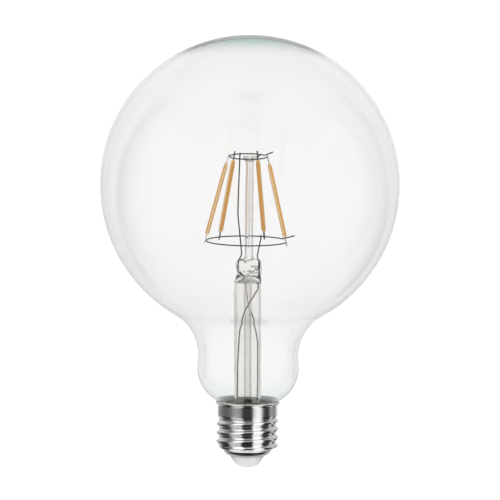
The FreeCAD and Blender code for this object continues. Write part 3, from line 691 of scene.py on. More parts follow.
# %% [markdown]
# ## Voids in the stem
# The pumping tube is hollow, and its bore turns forward in the pinch, where it was blown open. Round
# it the squeezed glass holds seeds, which are trapped bubbles, and one bubble is drawn out along the
# post. They could be faked with a bump, but only a real void bends the light behind it. Each is a
# closed shell whose faces look into it, so that the glass lies outside.

# %% Bore
# forward shift, height and radius of the bore
BORE_PATH = [(0, 14.6, 0.2), (0, 15.4, 0.85), (0, 16.4, EXHAUST_BORE)]
BORE_PATH += [(0, z, EXHAUST_BORE) for z in (30.0, 40.0, 50.0, 60.0, 68.0, 77.0)]
BORE_PATH += [(0, 78.2, 0.85), (0, 79.4, 0.72), (-0.2, 80.4, 0.7), (-0.8, 81.1, 0.72)]
bore_rings = [leaning_ring(radius, z, 24, forward) for forward, z, radius in BORE_PATH]
bore = loft(bore_rings, (0, 0, 14.4), (-0.5, -1.3, 81.5))
print("rings along the bore:", len(bore_rings))

# %% Seeds
# middle and half sizes of each seed
SEEDS = [
    (-3.0, -0.9, 86.75, 1.0, 1.2, 0.34),
    (-1.6, -1.0, 86.2, 0.8, 1.1, 0.6),
    (-0.2, -1.1, 86.7, 0.7, 0.6, 0.28),
    (1.0, -0.8, 86.8, 0.7, 0.6, 0.28),
    (4.0, -0.6, 86.5, 0.8, 0.7, 0.42),
    (2.0, -0.4, 84.2, 1.6, 1.2, 0.46),
    (2.9, 0.4, 82.9, 0.9, 1.2, 0.75),
    (0.7, -0.6, 82.2, 1.7, 1.2, 0.46),
    (-2.0, -1.2, 82.1, 0.55, 0.4, 0.45),
    (1.6, 0.9, 81.4, 1.9, 0.5, 0.34),
    (-2.2, -1.9, 79.9, 1.7, 0.6, 0.42),
    (0.9, -1.9, 80.4, 2.0, 0.6, 0.36),
    (3.0, -1.9, 80.3, 1.1, 0.6, 0.42),
    (-2.7, -2.4, 79.0, 0.6, 0.5, 0.34),
    (-1.0, -2.4, 78.9, 0.7, 0.5, 0.34),
    (-0.2, 0.0, 109.5, 0.34, 0.34, 18.0),
    (-1.2, -0.9, 129.3, 0.7, 0.5, 0.3),
    (0.7, -1.2, 129.5, 0.8, 0.5, 0.26),
]


def seed(x, y, z, half_x, half_y, half_z):
    """A small closed void."""
    rows = []
    for a in np.radians(np.linspace(-90, 90, 9)[1:-1]):
        spread, up = math.cos(a), z + half_z * math.sin(a)
        rows.append([(x + half_x * spread * c, y + half_y * spread * s, up) for c, s, _ in ring(1, 0, 14)])
    return loft(rows, (x, y, z - half_z), (x, y, z + half_z))


voids = join(bore, *[seed(*item) for item in SEEDS])
print("voids:", 1 + len(SEEDS))


# %% Stem body
def turn_voids_inwards(obj, void_count):
    """Turn the shells that the last points belong to, so that their faces look inwards."""
    first = len(obj.data.vertices) - void_count
    work = bmesh.new()
    work.from_mesh(obj.data)
    work.verts.ensure_lookup_table()
    left = {f for f in work.faces if all(v.index >= first for v in f.verts)}
    shells = 0
    while left:
        shell, queue = set(), [next(iter(left))]
        while queue:
            f = queue.pop()
            if f in left:
                left.discard(f)
                shell.add(f)
                queue += [g for e in f.edges for g in e.link_faces]
        middle = sum((f.calc_center_median() for f in shell), Vector()) / len(shell)
        if sum(f.normal.dot(f.calc_center_median() - middle) for f in shell) > 0:
            bmesh.ops.reverse_faces(work, faces=list(shell))
        shells += 1
    work.to_mesh(obj.data)
    work.free()
    return shells


stem_nodes = ["stem_flare", "stem_post", "exhaust_tube"]
stem = finish_mesh("stem_glass_body", join(skin, voids), "stem_glass", stem_nodes)
print("stem: voids looked at", turn_voids_inwards(stem, len(voids[0])))

# %% [markdown]
# ## Bent wires
# A lead is one piece of stiff wire with a few bends. A curve object with a bevel could draw it, but
# its corners need handles set by hand. Here a wire is just its corner points, and one Geometry Nodes
# tree rounds the corners with a bending radius, sweeps a round section along the path and closes both
# ends. The result is kept as a plain mesh.


# %% Wire tree
def close_tree(tree, geometry, material, out):
    """End a tree: instances made real, and the finish set."""
    solid = add(tree, "GeometryNodeRealizeInstances", Geometry=geometry).outputs["Geometry"]
    paint = add(tree, "GeometryNodeSetMaterial", Geometry=solid, Material=material)
    feed(tree, out["Geometry"], paint.outputs["Geometry"])


def wire_tree():
    """A round wire along a chain of edges."""
    tree, given, out = new_group(
        "bent_wire",
        "GeometryNodeTree",
        [
            ("Geometry", "Geometry", None),
            ("Radius", "Float", 0.0003),
            ("Bend", "Float", 0.0015),
            ("Sides", "Int", 16),
            ("Material", "Material", None),
        ],
        [("Geometry", "Geometry")],
    )
    path = add(tree, "GeometryNodeMeshToCurve", Mesh=given["Geometry"])
    bends = add(tree, "GeometryNodeFilletCurve", mode="POLY", Curve=path.outputs["Curve"], Count=7)
    feed(tree, bends.inputs["Radius"], given["Bend"])
    feed(tree, bends.inputs["Limit Radius"], True)
    circle = add(tree, "GeometryNodeCurvePrimitiveCircle", Resolution=given["Sides"])
    feed(tree, circle.inputs["Radius"], given["Radius"])
    draw = add(tree, "GeometryNodeCurveToMesh", Curve=bends.outputs["Curve"], Fill_Caps=True)
    feed(tree, draw.inputs["Profile Curve"], circle.outputs["Curve"])
    close_tree(tree, draw.outputs["Mesh"], given["Material"], out)
    return tree


WIRE_TREE = wire_tree()
print("wire tree nodes:", len(WIRE_TREE.nodes))


# %% Draw a wire
def evaluate(obj, tree, settings):
    """Run a tree on an object with named inputs and keep the result as a plain mesh."""
    modifier = obj.modifiers.new("build", "NODES")
    modifier.node_group = tree
    sockets = {s.name: s.identifier for s in tree.interface.items_tree if s.in_out == "INPUT"}
    for label, setting in settings.items():
        modifier[sockets[label]] = setting
    graph = bpy.context.evaluated_depsgraph_get()
    result = bpy.data.meshes.new_from_object(obj.evaluated_get(graph))
    obj.modifiers.remove(modifier)
    obj.data = result
    return obj


def wire(node, points, diameter, bend, finish="wire_metal", slot="wire_metal"):
    """A wire through its corner points. It replaces the node that it is named for."""
    edges = [(i, i + 1) for i in range(len(points) - 1)]
    obj = mesh_object(f"{node}_wire", points, [], edges)
    settings = {"Radius": diameter / 2 * MM, "Bend": bend * MM, "Material": FINISHES[finish]}
    evaluate(obj, WIRE_TREE, settings)
    return register(obj, FINISHES[finish], [node])


print("wire finish:", FINISHES["wire_metal"].name)

# %% [markdown]
# ## Hoops
# Two rings of wire hold the strips: a small one on the post's button and a wide one below. Each is
# bent from straight wire, so it stands a little tilted and its last end sticks out as a tail. A torus
# would be closed and level. One function places a point on either hoop, and the strips and leads use
# the same function, so they stay welded to it.

# %% Hoops
HOOP_WIRE, HOOP_BEND, HOOP_POINTS = 0.54, 1.1, 48
HOOPS = {
    "upper": dict(radius=7.8, offset=0.9, height=130.0, tilt=4.6, turn=(-4.0, -323.0), rise=22.0, tail=3.7),
    "lower": dict(radius=17.0, offset=1.0, height=94.8, tilt=1.6, turn=(-16.0, -327.0), rise=15.0, tail=5.2),
}


def hoop_point(which, angle, beyond=0.0):
    """A point on a hoop's middle line, or beyond it. The hoop is tilted about its own centre."""
    hoop = HOOPS[which]
    a = math.radians(angle)
    reach = hoop["radius"] + beyond
    tilt = Matrix.Rotation(math.radians(hoop["tilt"]), 3, "X")
    point = tilt @ Vector((reach * math.cos(a), reach * math.sin(a), 0))
    return point + Vector((-hoop["offset"], 0, hoop["height"]))


def draw_hoop(which):
    """An open ring of wire whose last end runs straight out as a tail."""
    hoop = HOOPS[which]
    points = [hoop_point(which, a) for a in np.linspace(*hoop["turn"], HOOP_POINTS)]
    onward = (points[-1] - points[-2]).normalized()
    corner = points[-1] + onward * HOOP_WIRE * 2
    rise = math.radians(hoop["rise"])
    end = corner + Vector((math.cos(rise), 0, math.sin(rise))) * hoop["tail"]
    return wire(f"{which}_hoop", points + [corner, end], HOOP_WIRE, HOOP_BEND)


hoop_wires = [draw_hoop(which) for which in HOOPS]
print("hoops:", [(obj.name, len(obj.data.polygons)) for obj in hoop_wires])

# %% [markdown]
# ## The hoop's support
# A short wire melted into the button carries the upper hoop. A cylinder turned into place would do,
# but the wire tree already closes the ends, and a straight wire needs only two points.

# %% Support
SUPPORT_WIRE, GRIP_ANGLE, GRIP_R, GRIP_Z = 0.5, 38, 2.65, 129.3
spin = math.radians(GRIP_ANGLE)
grip = Vector((GRIP_R * math.cos(spin), GRIP_R * math.sin(spin), GRIP_Z))
support_end = hoop_point("upper", 44, -0.3)
wire("hoop_support", [grip, support_end], SUPPORT_WIRE, 0.5)
print("support length in mm:", round((grip - support_end).length, 2))

# %% [markdown]
# ## Leads
# Current climbs from the cap through two leads. Each is three wires welded end to end: a stiff one up
# to a hoop, a short one that seals in the pinch, and a softer one down through the flare, where the
# two cross. Each is written as its corner points, worked out from the hoops and from the heights at
# which the welds sit, so that the three parts of a lead share their ends.

# %% Inner leads
PINCH_TOP, WELD_Z, SEAL_FOOT = 86.6, 84.3, 75.2
LEFT_HOOP_ANGLE, RIGHT_HOOP_ANGLE, BESIDE_HOOP = 246, 69, 0.6
LEFT_WELD = Vector((-4.15, 0, WELD_Z))
RIGHT_WELD = Vector((3.75, 0, WELD_Z))
lead_top = hoop_point("upper", LEFT_HOOP_ANGLE, BESIDE_HOOP) + Vector((0, 0, BESIDE_HOOP))
drop = lead_top.z - PINCH_TOP
inner_left = [
    lead_top + Vector((0.1, 0.0, 2.2)),
    lead_top,
    lead_top + Vector((-0.5, -lead_top.y * 0.1, -drop * 0.4)),
    lead_top + Vector((-0.55, -lead_top.y * 0.25, -drop * 0.55)),
    lead_top + Vector((0.6, -lead_top.y * 0.65, -drop * 0.8)),
    Vector((lead_top.x + 1.2, lead_top.y * 0.1, PINCH_TOP + drop * 0.055)),
    Vector((-4.05, 0, PINCH_TOP + drop * 0.02)),
    LEFT_WELD,
]
start = hoop_point("lower", RIGHT_HOOP_ANGLE, -BESIDE_HOOP)
fall = start.z - PINCH_TOP
inner_right = [
    start + Vector((0, 0, BESIDE_HOOP)),
    start - Vector((0.1, 1.2, fall * 0.1)),
    Vector((3.35, start.y * 0.15, PINCH_TOP + fall * 0.22)),
    Vector((RIGHT_WELD.x, 0, PINCH_TOP + fall * 0.06)),
    RIGHT_WELD,
]
print("inner leads rise above the pinch by", round(drop, 1), "and", round(fall, 1), "mm")

# %% Seal wires and outer leads
BOARD_END = 9.2
left_seal = [
    LEFT_WELD,
    Vector((-4.1, 0, 82.9)),
    Vector((-3.3, 0.3, 81.4)),
    Vector((-2.3, 0.8, 80.2)),
    Vector((-1.8, 1.9, 77.7)),
    Vector((-1.55, 2.2, SEAL_FOOT)),
]
right_seal = [RIGHT_WELD, Vector((RIGHT_WELD.x, 0, SEAL_FOOT))]
run = SEAL_FOOT - FLARE_FOOT
outer_left = [
    left_seal[-1],
    Vector((-0.2, 2.26, SEAL_FOOT - run * 0.12)),
    Vector((2.3, 2.16, SEAL_FOOT - run * 0.27)),
    Vector((3.95, 1.4, SEAL_FOOT - run * 0.42)),
    Vector((4.17, 0.6, SEAL_FOOT - run * 0.75)),
    Vector((3.9, 1.2, FLARE_FOOT)),
    Vector((4.0, 4.0, BOARD_END)),
]
outer_right = [
    right_seal[-1],
    Vector((0.1, -2.36, SEAL_FOOT - run * 0.12)),
    Vector((-1.9, -2.16, SEAL_FOOT - run * 0.2)),
    Vector((-3.59, -1.4, SEAL_FOOT - run * 0.33)),
    Vector((-4.31, -0.5, SEAL_FOOT - run * 0.6)),
    Vector((-4.22, -1.3, FLARE_FOOT + run * 0.12)),
    Vector((-4.0, -4.0, BOARD_END)),
]
print("run of the leads in the flare:", round(run, 2), "mm")

# %% Draw the leads
# the seal wires are clad in copper, but in the pinch they look as dull as the leads above them
LEADS = [
    ("inner_lead", inner_left, inner_right, dict(diameter=0.56, bend=3.0)),
    ("seal_wire", left_seal, right_seal, dict(diameter=0.62, bend=3.0, slot="lead_copper")),
    (
        "outer_lead",
        outer_left,
        outer_right,
        dict(diameter=0.56, bend=14.0, finish="lead_copper", slot="lead_copper"),
    ),
]
for kind, left, right, sizes in LEADS:
    wire(f"{kind}_left", left, **sizes)
    wire(f"{kind}_right", right, **sizes)

# %% [markdown]
# ## Where a light strip stands
# A strip is a thin ceramic slip with a bead of phosphor along its front and its back, and a flat metal
# clip on each end. The four hang askew between the hoops, so rotating a finished strip by three
# angles would be guesswork. Instead each takes its own axes from the two hoop points that it joins,
# and every shape on it is lofted along those axes.

# %% Strip axes
STRIP_ANGLES = [(180.0, 180.0), (134.0, 131.5), (62.0, 65.5), (-8.0, -20.6)]
CLIP_WIDTH, CLIP_THICK, CLIP_STUB = 0.8, 0.25, 1.3


def strip_axes(number):
    """A strip's foot, its sideways, outward and upward directions, and its length."""
    top_angle, low_angle = STRIP_ANGLES[number - 1]
    beyond = HOOP_WIRE / 2 / math.cos(math.pi / 8) + CLIP_THICK / 2
    top, low = hoop_point("upper", top_angle, beyond), hoop_point("lower", low_angle, beyond)
    upward = (top - low).normalized()
    a = math.radians(low_angle)
    sideways = Vector((math.cos(a), math.sin(a), 0)).cross(upward).normalized()
    return low, sideways, upward.cross(sideways), upward, (top - low).length


def along_strip(axes, rows):
    """Loft outlines, each (height, points across and out), into the strip's own directions."""
    low, sideways, outward, upward, _ = axes
    rings = []
    for height, outline in rows:
        rings.append([low + sideways * u + outward * v + upward * height for u, v in outline])
    middles = [sum((Vector(p) for p in r), Vector()) / len(r) for r in (rings[0], rings[-1])]
    return loft(rings, *middles)


print("strip lengths:", [round(strip_axes(number)[4], 1) for number in range(1, 5)])

# %% [markdown]
# ## Phosphor beads
# The phosphor is poured as a paste, so it has a half-round section, rounded ends, a long taper at the
# top and a slightly uneven height. A stretched half cylinder would look stamped out. Outlines that
# shrink towards the ends, with a little noise, look poured.

# %% Beads
STRIP_WIDTH, SLIP_THICK, BEAD_DEPTH = 1.75, 0.64, 0.56
STRIP_REACH, BEAD_MARGIN, TOP_TAPER, FOOT_ROUND = 2.4, 0.3, 3.0, 0.9
END_WIDTH, POUR_UNEVEN = 0.35, 0.035


def bead_outline(width, depth, side, steps=10):
    """A half-round bead on one face of the slip."""
    base = SLIP_THICK / 2 - 0.01
    angles = np.linspace(0, math.pi, steps)
    points = [(width / 2 * math.cos(a), base + depth * math.sin(a) ** 0.8) for a in angles]
    return [(u, v * side) for u, v in points]


def bead_rows(bottom, length, side):
    """The bead with rounded ends and a slightly uneven pour."""
    shares = np.concatenate([np.linspace(0, 0.03, 5), np.linspace(0.05, 0.95, 30), np.linspace(0.97, 1, 5)])
    rows = []
    for t in shares:
        end = min(t, 1 - t) * length
        reach = FOOT_ROUND if t < 0.5 else TOP_TAPER
        fade = math.sqrt(max(0.0, 1 - max(0.0, 1 - end / reach) ** 2)) * 0.92 + 0.08
        uneven = 1 + POUR_UNEVEN * noise.noise(Vector((t * 14, side * 3.1, bottom)))
        width = STRIP_WIDTH * (END_WIDTH + (1 - END_WIDTH) * fade)
        depth = BEAD_DEPTH * fade * uneven
        rows.append((bottom + t * length, bead_outline(width, depth, side)))
    return rows


print("outlines in a bead:", len(bead_rows(0.0, 30.0, 1)))

# %% [markdown]
# ## Slips and clips
# The slip is cut from a fired sheet and the clip is a stamped tab, so both are flat bars with crisp
# edges. They keep flat shading and small bevels, because smooth shading would round them.


# %% Bars
def bar_outline(width, thick, edge=0.05):
    """A flat bar's section with small bevels."""
    u, v = width / 2, thick / 2
    corners = [(u, -v + edge), (u, v - edge), (u - edge, v), (-u + edge, v)]
    return corners + [(-x, -y) for x, y in corners]


def slip_rows(length):
    """The slip, which narrows over its top end like the beads on it."""
    rows = []
    straight = np.linspace(0, length - TOP_TAPER, 10)
    taper = length - TOP_TAPER + np.linspace(0.4, TOP_TAPER, 9)
    for h in np.concatenate([straight, taper]):
        left = min(1.0, (length - h) / TOP_TAPER)
        across = (STRIP_WIDTH + 0.08) * (0.4 + 0.6 * math.sqrt(1 - (1 - left) ** 2))
        rows.append((STRIP_REACH + h, bar_outline(across, SLIP_THICK * (0.6 + 0.4 * left))))
    return rows


def clip_rows(bottom):
    """A straight tab from a given height on the strip."""
    tab = bar_outline(CLIP_WIDTH, CLIP_THICK)
    return [(bottom + h, tab) for h in np.linspace(0, STRIP_REACH + CLIP_STUB + 0.2, 8)]


print("corners of a bar:", len(bar_outline(1.0, 1.0)))

# %% Build the strips
for number in range(1, 5):
    axes = strip_axes(number)
    length = axes[4] - STRIP_REACH * 2
    for name, side in (("outer", 1), ("inner", -1)):
        rows = bead_rows(STRIP_REACH + BEAD_MARGIN, length - BEAD_MARGIN * 2, side)
        node = f"phosphor_{name}_{number}"
        finish_mesh(f"{node}_bead", along_strip(axes, rows), "phosphor", [node])
    slip = along_strip(axes, slip_rows(length))
    finish_mesh(f"ceramic_slip_{number}", slip, "ceramic_slip", [f"filament_{number}"], smooth=False)
    for end, bottom in (("bottom", -CLIP_STUB), ("top", STRIP_REACH + length - 0.2)):
        tab = along_strip(axes, clip_rows(bottom))
        finish_mesh(f"{end}_clip_tab_{number}", tab, "clip_metal", [f"{end}_clip_{number}"], smooth=False)
print("strips built:", number)

# %% [markdown]
# ## The knuckle thread
# The cap's thread is rolled into thin sheet, so it is a soft wave: crests and roots are arcs of one
# radius that meet halfway at one slope. A helix cut by a boolean would be sharp and would leave the
# inside plain. A tree that pushes the points of a plain turned blank in and out by a formula gives
# both walls the same wave, and the thread rises with the angle and fades out at both ends.


# %% Wave of the thread
def far_side(tree, radius, offset):
    """Height of a circle over its middle at an offset from it."""
    squares = [sum_up(tree, "POWER", length, 2.0) for length in (radius, offset)]
    return sum_up(tree, "SQRT", sum_up(tree, "SUBTRACT", *squares))


def knuckle_wave(tree, distance, pitch, depth):
    """Height over the root at a distance from the nearest crest."""
    quarter = sum_up(tree, "MULTIPLY", pitch, 0.25)
    half_depth = sum_up(tree, "MULTIPLY", depth, 0.5)
    squares = [sum_up(tree, "POWER", length, 2.0) for length in (half_depth, quarter)]
    arc_radius = sum_up(tree, "DIVIDE", sum_up(tree, "ADD", *squares), depth)
    crest = sum_up(tree, "SUBTRACT", far_side(tree, arc_radius, distance), arc_radius)
    crest = sum_up(tree, "ADD", crest, depth)
    from_root = sum_up(tree, "SUBTRACT", sum_up(tree, "MULTIPLY", pitch, 0.5), distance)
    root = sum_up(tree, "SUBTRACT", arc_radius, far_side(tree, arc_radius, from_root))
    near = sum_up(tree, "LESS_THAN", distance, quarter)
    far = sum_up(tree, "SUBTRACT", 1.0, near)
    return sum_up(tree, "ADD", sum_up(tree, "MULTIPLY", near, crest), sum_up(tree, "MULTIPLY", far, root))


def crest_distance(tree, parts, height, given):
    """Distance along the axis from a point to the nearest crest of a one-start helix."""
    turn = sum_up(tree, "DIVIDE", sum_up(tree, "ARCTAN2", parts["Y"], parts["X"]), 2 * math.pi)
    above = sum_up(tree, "SUBTRACT", height, given["Crest height"])
    pitches = sum_up(tree, "DIVIDE", above, given["Pitch"])
    phase = sum_up(tree, "SUBTRACT", pitches, sum_up(tree, "SUBTRACT", turn, 0.5))
    part = sum_up(tree, "FRACT", sum_up(tree, "ADD", phase, 0.5))
    away = sum_up(tree, "ABSOLUTE", sum_up(tree, "SUBTRACT", part, 0.5))
    return sum_up(tree, "MULTIPLY", away, given["Pitch"])


print("thread helpers:", far_side.__name__, knuckle_wave.__name__, crest_distance.__name__)

# %% Thread tree
THREAD = {
    "Pitch": 3.629,
    "Depth": 1.05,
    "Crest height": 18.2,
    "Upper start": 21.35,
    "Upper full": 19.9,
    "Lower start": 7.2,
    "Lower full": 9.4,
}


def thread_tree():
    """Push points in or out from the axis by a knuckle thread. Sizes are in millimetres."""
    sizes = [(label, "Float", size) for label, size in THREAD.items()]
    tree, given, out = new_group(
        "rolled_thread",
        "GeometryNodeTree",
        [("Geometry", "Geometry", None), *sizes, ("Material", "Material", None)],
        [("Geometry", "Geometry")],
    )
    place = add(tree, "GeometryNodeInputPosition").outputs["Position"]
    parts = add(tree, "ShaderNodeSeparateXYZ", Vector=place).outputs
    height = sum_up(tree, "DIVIDE", parts["Z"], MM)
    distance = crest_distance(tree, parts, height, given)
    wave = knuckle_wave(tree, distance, given["Pitch"], given["Depth"])
    upper = soft_step(tree, height, given["Upper start"], given["Upper full"])
    lower = soft_step(tree, height, given["Lower start"], given["Lower full"])
    window = sum_up(tree, "MULTIPLY", upper, lower)
    push = sum_up(tree, "MULTIPLY", sum_up(tree, "MULTIPLY", wave, window), MM)
    level = add(tree, "ShaderNodeCombineXYZ", X=parts["X"], Y=parts["Y"]).outputs["Vector"]
    unit = add(tree, "ShaderNodeVectorMath", operation="NORMALIZE", Vector=level).outputs["Vector"]
    offset = add(tree, "ShaderNodeVectorMath", operation="SCALE", Vector=unit, Scale=push)
    move = add(
        tree, "GeometryNodeSetPosition", Geometry=given["Geometry"], Offset=offset.outputs["Vector"]
    )
    close_tree(tree, move.outputs["Geometry"], given["Material"], out)
    return tree


THREAD_TREE = thread_tree()
print("thread tree nodes:", len(THREAD_TREE.nodes))

# %% [markdown]
# ## The screw shell
# The shell is drawn from thin nickel-plated sheet, with a curled foot that grips the black glass and a
# flared lip that holds the cement. The blank is one turned profile, outside down to the foot and back
# up inside. Only the stretch that carries the thread needs close rows of points.

# %% Screw shell
SHELL_SEGMENTS = 256
shell_outer = arc(9.95, 7.32, 0.2, 170, 290, 6)
shell_outer += [(10.18, 7.2), (10.42, 7.4), (10.56, 7.62), (10.58, 7.76), (10.74, 7.8)]
shell_outer += [(11.1, 7.98), (11.5, 8.28), (11.8, 8.66), (11.97, 9.05), (12.03, 9.35)]
shell_outer += [(12.05, z) for z in np.linspace(9.6, 20.75, 110)]
shell_outer += [(12.12, 20.95), (12.3, 21.15), (12.5, 21.35), (12.64, 21.6), (12.7, 21.9)]
shell_outer += [(12.7, 22.2), (12.7, 22.28)]
shell_outer += [(12.7, z) for z in np.linspace(22.5, 26.0, 8)]
shell_outer += [(12.7, 26.05), (12.72, 26.3), (12.84, 26.6), (13.1, 26.8)]
shell_outer += arc(13.3, 27.2, 0.4, -62, 100, 11)
shell_inner = [(12.9, 27.4), (12.66, 27.1), (12.44, 26.5)]
shell_inner += [(12.4, z) for z in np.linspace(25.7, 22.3, 8)]
shell_inner += [(12.34, 21.7), (12.1, 21.3), (11.85, 21.0)]
shell_inner += [(11.75, z) for z in np.linspace(20.7, 9.7, 60)]
shell_inner += [(11.68, 9.3), (11.4, 8.75), (11.0, 8.3), (10.5, 8.05), (10.2, 7.75), (9.9, 7.52)]
shell = mesh_object("screw_shell_rolled", *lathe(shell_outer + shell_inner, SHELL_SEGMENTS))
evaluate(shell, THREAD_TREE, {"Material": FINISHES["cap_nickel"]})
register(shell, FINISHES["cap_nickel"], ["screw_shell"])
print("screw shell faces:", len(shell.data.polygons))

# %% [markdown]
# ## Insulator, contact and cement
# Molten black glass is pressed into the foot of the shell, a domed plate sits in its middle, and baked
# cement fills the ring between neck and shell. All three are round, so each is a short profile with
# points only where its curve turns.

# %% Turned cap pieces
CAP_SEGMENTS, CEMENT_SEGMENTS = 96, 128
insulator = [(1.4, 4.75), (7.0, 4.75), (7.4, 4.85), (8.1, 5.1), (8.8, 5.5), (9.3, 5.95), (9.65, 6.45)]
insulator += [(9.85, 7.0), (9.9, 7.5), (10.1, 7.85), (10.4, 8.05), (10.45, 8.2), (1.4, 8.2)]
contact = [(0, 0), (1.6, 0.02), (2.3, 0.1), (3.2, 0.35), (4.3, 0.8), (5.0, 1.3), (5.5, 1.95)]
contact += [(6.05, 2.9), (6.5, 3.65), (6.95, 4.3), (7.25, 4.65), (7.36, 4.82), (7.25, 4.95)]
contact += [(6.9, 4.8), (6.3, 3.9), (5.2, 2.2), (4.5, 1.3), (2.3, 0.55), (1.4, 0.5)]
contact += [(1.4, 6.8), (1.0, 6.8), (1.0, 0.6), (0, 0.5)]
cement = [(11.64, 21.7), (12.36, 21.7), (12.4, 26.0), (12.6, 26.9), (12.95, 27.3), (13.1, 27.55)]
cement += [(13.1, 27.84), (12.7, 27.66), (12.2, 27.42), (11.8, 27.26), (11.64, 27.16)]
finish_mesh("black_insulator", lathe(insulator, CAP_SEGMENTS), "black_glass", ["insulator"])
finish_mesh("centre_contact_dish", lathe(contact, CAP_SEGMENTS), "contact_metal", ["centre_contact"])
finish_mesh("basing_cement_ring", lathe(cement, CEMENT_SEGMENTS), "cement", ["basing_cement"])
print("cap profile points:", len(insulator), len(contact), len(cement))

# %% [markdown]
# ## The driver in the cap
# A small board with a bridge, a chip, a capacitor and a resistor feeds the strips. It is hidden by the
# shell and the cement, so its pieces keep the fixed model's plain shapes and only get their finishes.

# %% Carried pieces
CARRIED = {
    "driver_board": "board",
    "bridge_rectifier": "component_black",
    "driver_chip": "component_black",
    "smoothing_capacitor": "capacitor_can",
    "fuse_resistor": "resistor_body",
    "contact_lead": "lead_copper",
    "shell_lead": "lead_copper",
}
for name, finish in CARRIED.items():
    nodes[name].data.materials.clear()
    nodes[name].data.materials.append(FINISHES[finish])
shown = [n for n, o in nodes.items() if not o.hide_render]
assert sorted(shown) == sorted(CARRIED), "a node of the frame has no piece in front of it"
print("nodes still shown:", shown)

# %% [markdown]
# ## Studio patterns
# Glass and polished metal show little but their surroundings. An image of a studio would do, but a
# few levels by direction are enough and can be tuned: soft panels at the front, dark gaps between
# them, grey sides and a white backdrop. Metal above the horizon, the table near the bulb, the table
# farther out and glass each get a pattern. Azimuth 0 is towards the camera and 180 behind the bulb.

# %% Levels by azimuth
# azimuth in degrees and the level there
PANELS = [
    (-180, 0.50), (-140, 0.50), (-118, 0.42), (-104, 0.20), (-68, 0.16), (-57, 1.0),
    (-22, 1.0), (-16, 0.10), (19, 0.10), (25, 1.0), (60, 1.0), (67, 0.05), (94, 0.08),
    (101, 0.60), (108, 0.40), (130, 0.45), (180, 0.50),
]
LOW_PANELS = [
    (-180, 0.45), (-130, 0.45), (-116, 0.25), (-106, 0.04), (-68, 0.02), (-55, 0.45),
    (-22, 0.45), (-17, 0.015), (17, 0.015), (23, 0.75), (50, 0.75), (56, 0.015), (90, 0.015),
    (97, 0.50), (107, 0.50), (112, 0.02), (124, 0.02), (132, 0.50), (180, 0.45),
]
TABLE = [
    (-180, 0.52), (-172, 0.52), (-162, 0.60), (-142, 0.40), (-126, 0.18), (-108, 0.13),
    (-85, 0.09), (-62, 0.14), (-45, 0.26), (-28, 0.20), (-17, 0.035), (16, 0.03), (25, 0.50),
    (34, 0.72), (48, 0.72), (60, 0.14), (68, 0.03), (84, 0.04), (94, 0.22), (110, 0.22),
    (122, 0.18), (134, 0.42), (150, 0.60), (166, 0.60), (174, 0.52), (180, 0.52),
]
GLASS = [
    (-180, 0.54), (-172, 0.58), (-166, 0.78), (-150, 0.76), (-134, 0.68), (-124, 0.62),
    (-120, 0.30), (-114, 0.30), (-108, 0.50), (-92, 0.70), (92, 0.70), (110, 0.50),
    (123, 0.28), (129, 0.28), (134, 0.66), (150, 0.76), (166, 0.78), (172, 0.58), (180, 0.54),
]
print("pattern steps:", len(PANELS), len(LOW_PANELS), len(TABLE), len(GLASS))

# %% Pattern groups
BACKDROP_FROM, BACKDROP_TO = 0.925, 0.96
METAL_CEILING, GLASS_CEILING = (0.72, 0.92), (0.45, 0.75)


def studio_group(name, pattern, ceiling):
    """Brightness of the studio in one direction. Steep directions get the level of Side."""
    group, given, out = new_group(
        name,
        "ShaderNodeTree",
        [("Direction", "Vector", (0.0, 1.0, 0.0)), ("Side", "Float", 0.52)],
        [("Value", "Float")],
    )
    unit = add(group, "ShaderNodeVectorMath", operation="NORMALIZE", Vector=given["Direction"])
    parts = add(group, "ShaderNodeSeparateXYZ", Vector=unit.outputs["Vector"]).outputs
    azimuth = sum_up(group, "ARCTAN2", parts["X"], sum_up(group, "MULTIPLY", parts["Y"], -1.0))
    turn = add(group, "ShaderNodeMapRange", Value=azimuth, From_Min=-math.pi, From_Max=math.pi)
    ramp = add(group, "ShaderNodeValToRGB", Fac=turn.outputs["Result"])
    stops = ramp.color_ramp.elements
    for stop, (_, level) in zip(stops, (pattern[0], pattern[-1])):
        stop.color = (level, level, level, 1)
    for degrees, level in pattern[1:-1]:
        stops.new((degrees + 180) / 360).color = (level, level, level, 1)
    steep = soft_step(group, sum_up(group, "ABSOLUTE", parts["Z"]), *ceiling)
    level = blend(group, "FLOAT", steep, ramp.outputs["Color"], given["Side"])
    behind = soft_step(group, parts["Y"], BACKDROP_FROM, BACKDROP_TO)
    feed(group, out["Value"], blend(group, "FLOAT", behind, level, 1.0))
    return group


PANEL_LIGHT = studio_group("panel_light", PANELS, METAL_CEILING)
LOW_LIGHT = studio_group("low_light", LOW_PANELS, METAL_CEILING)
TABLE_LIGHT = studio_group("table_light", TABLE, METAL_CEILING)
GLASS_LIGHT = studio_group("glass_light", GLASS, GLASS_CEILING)
print("studio groups:", [g.name for g in (PANEL_LIGHT, LOW_LIGHT, TABLE_LIGHT, GLASS_LIGHT)])

# %% [markdown]
# ## Rays by kind
# One surface can show different things to different rays. The camera sees plain white. Rays that
# glass bends or mirrors sharply see the glass pattern, rays from the slightly rough metal see the
# panels a little brighter, and rays that left a matt surface see one even level, which lights every
# side alike. More lamps could do this too, but they would change all the other finishes with it.


# %% Sort the rays
METAL_GAIN = 1.3


def light_from(tree, pattern, direction, **values):
    """The level of a studio pattern in one direction."""
    return add(tree, "ShaderNodeGroup", node_tree=pattern, Direction=direction, **values).outputs["Value"]


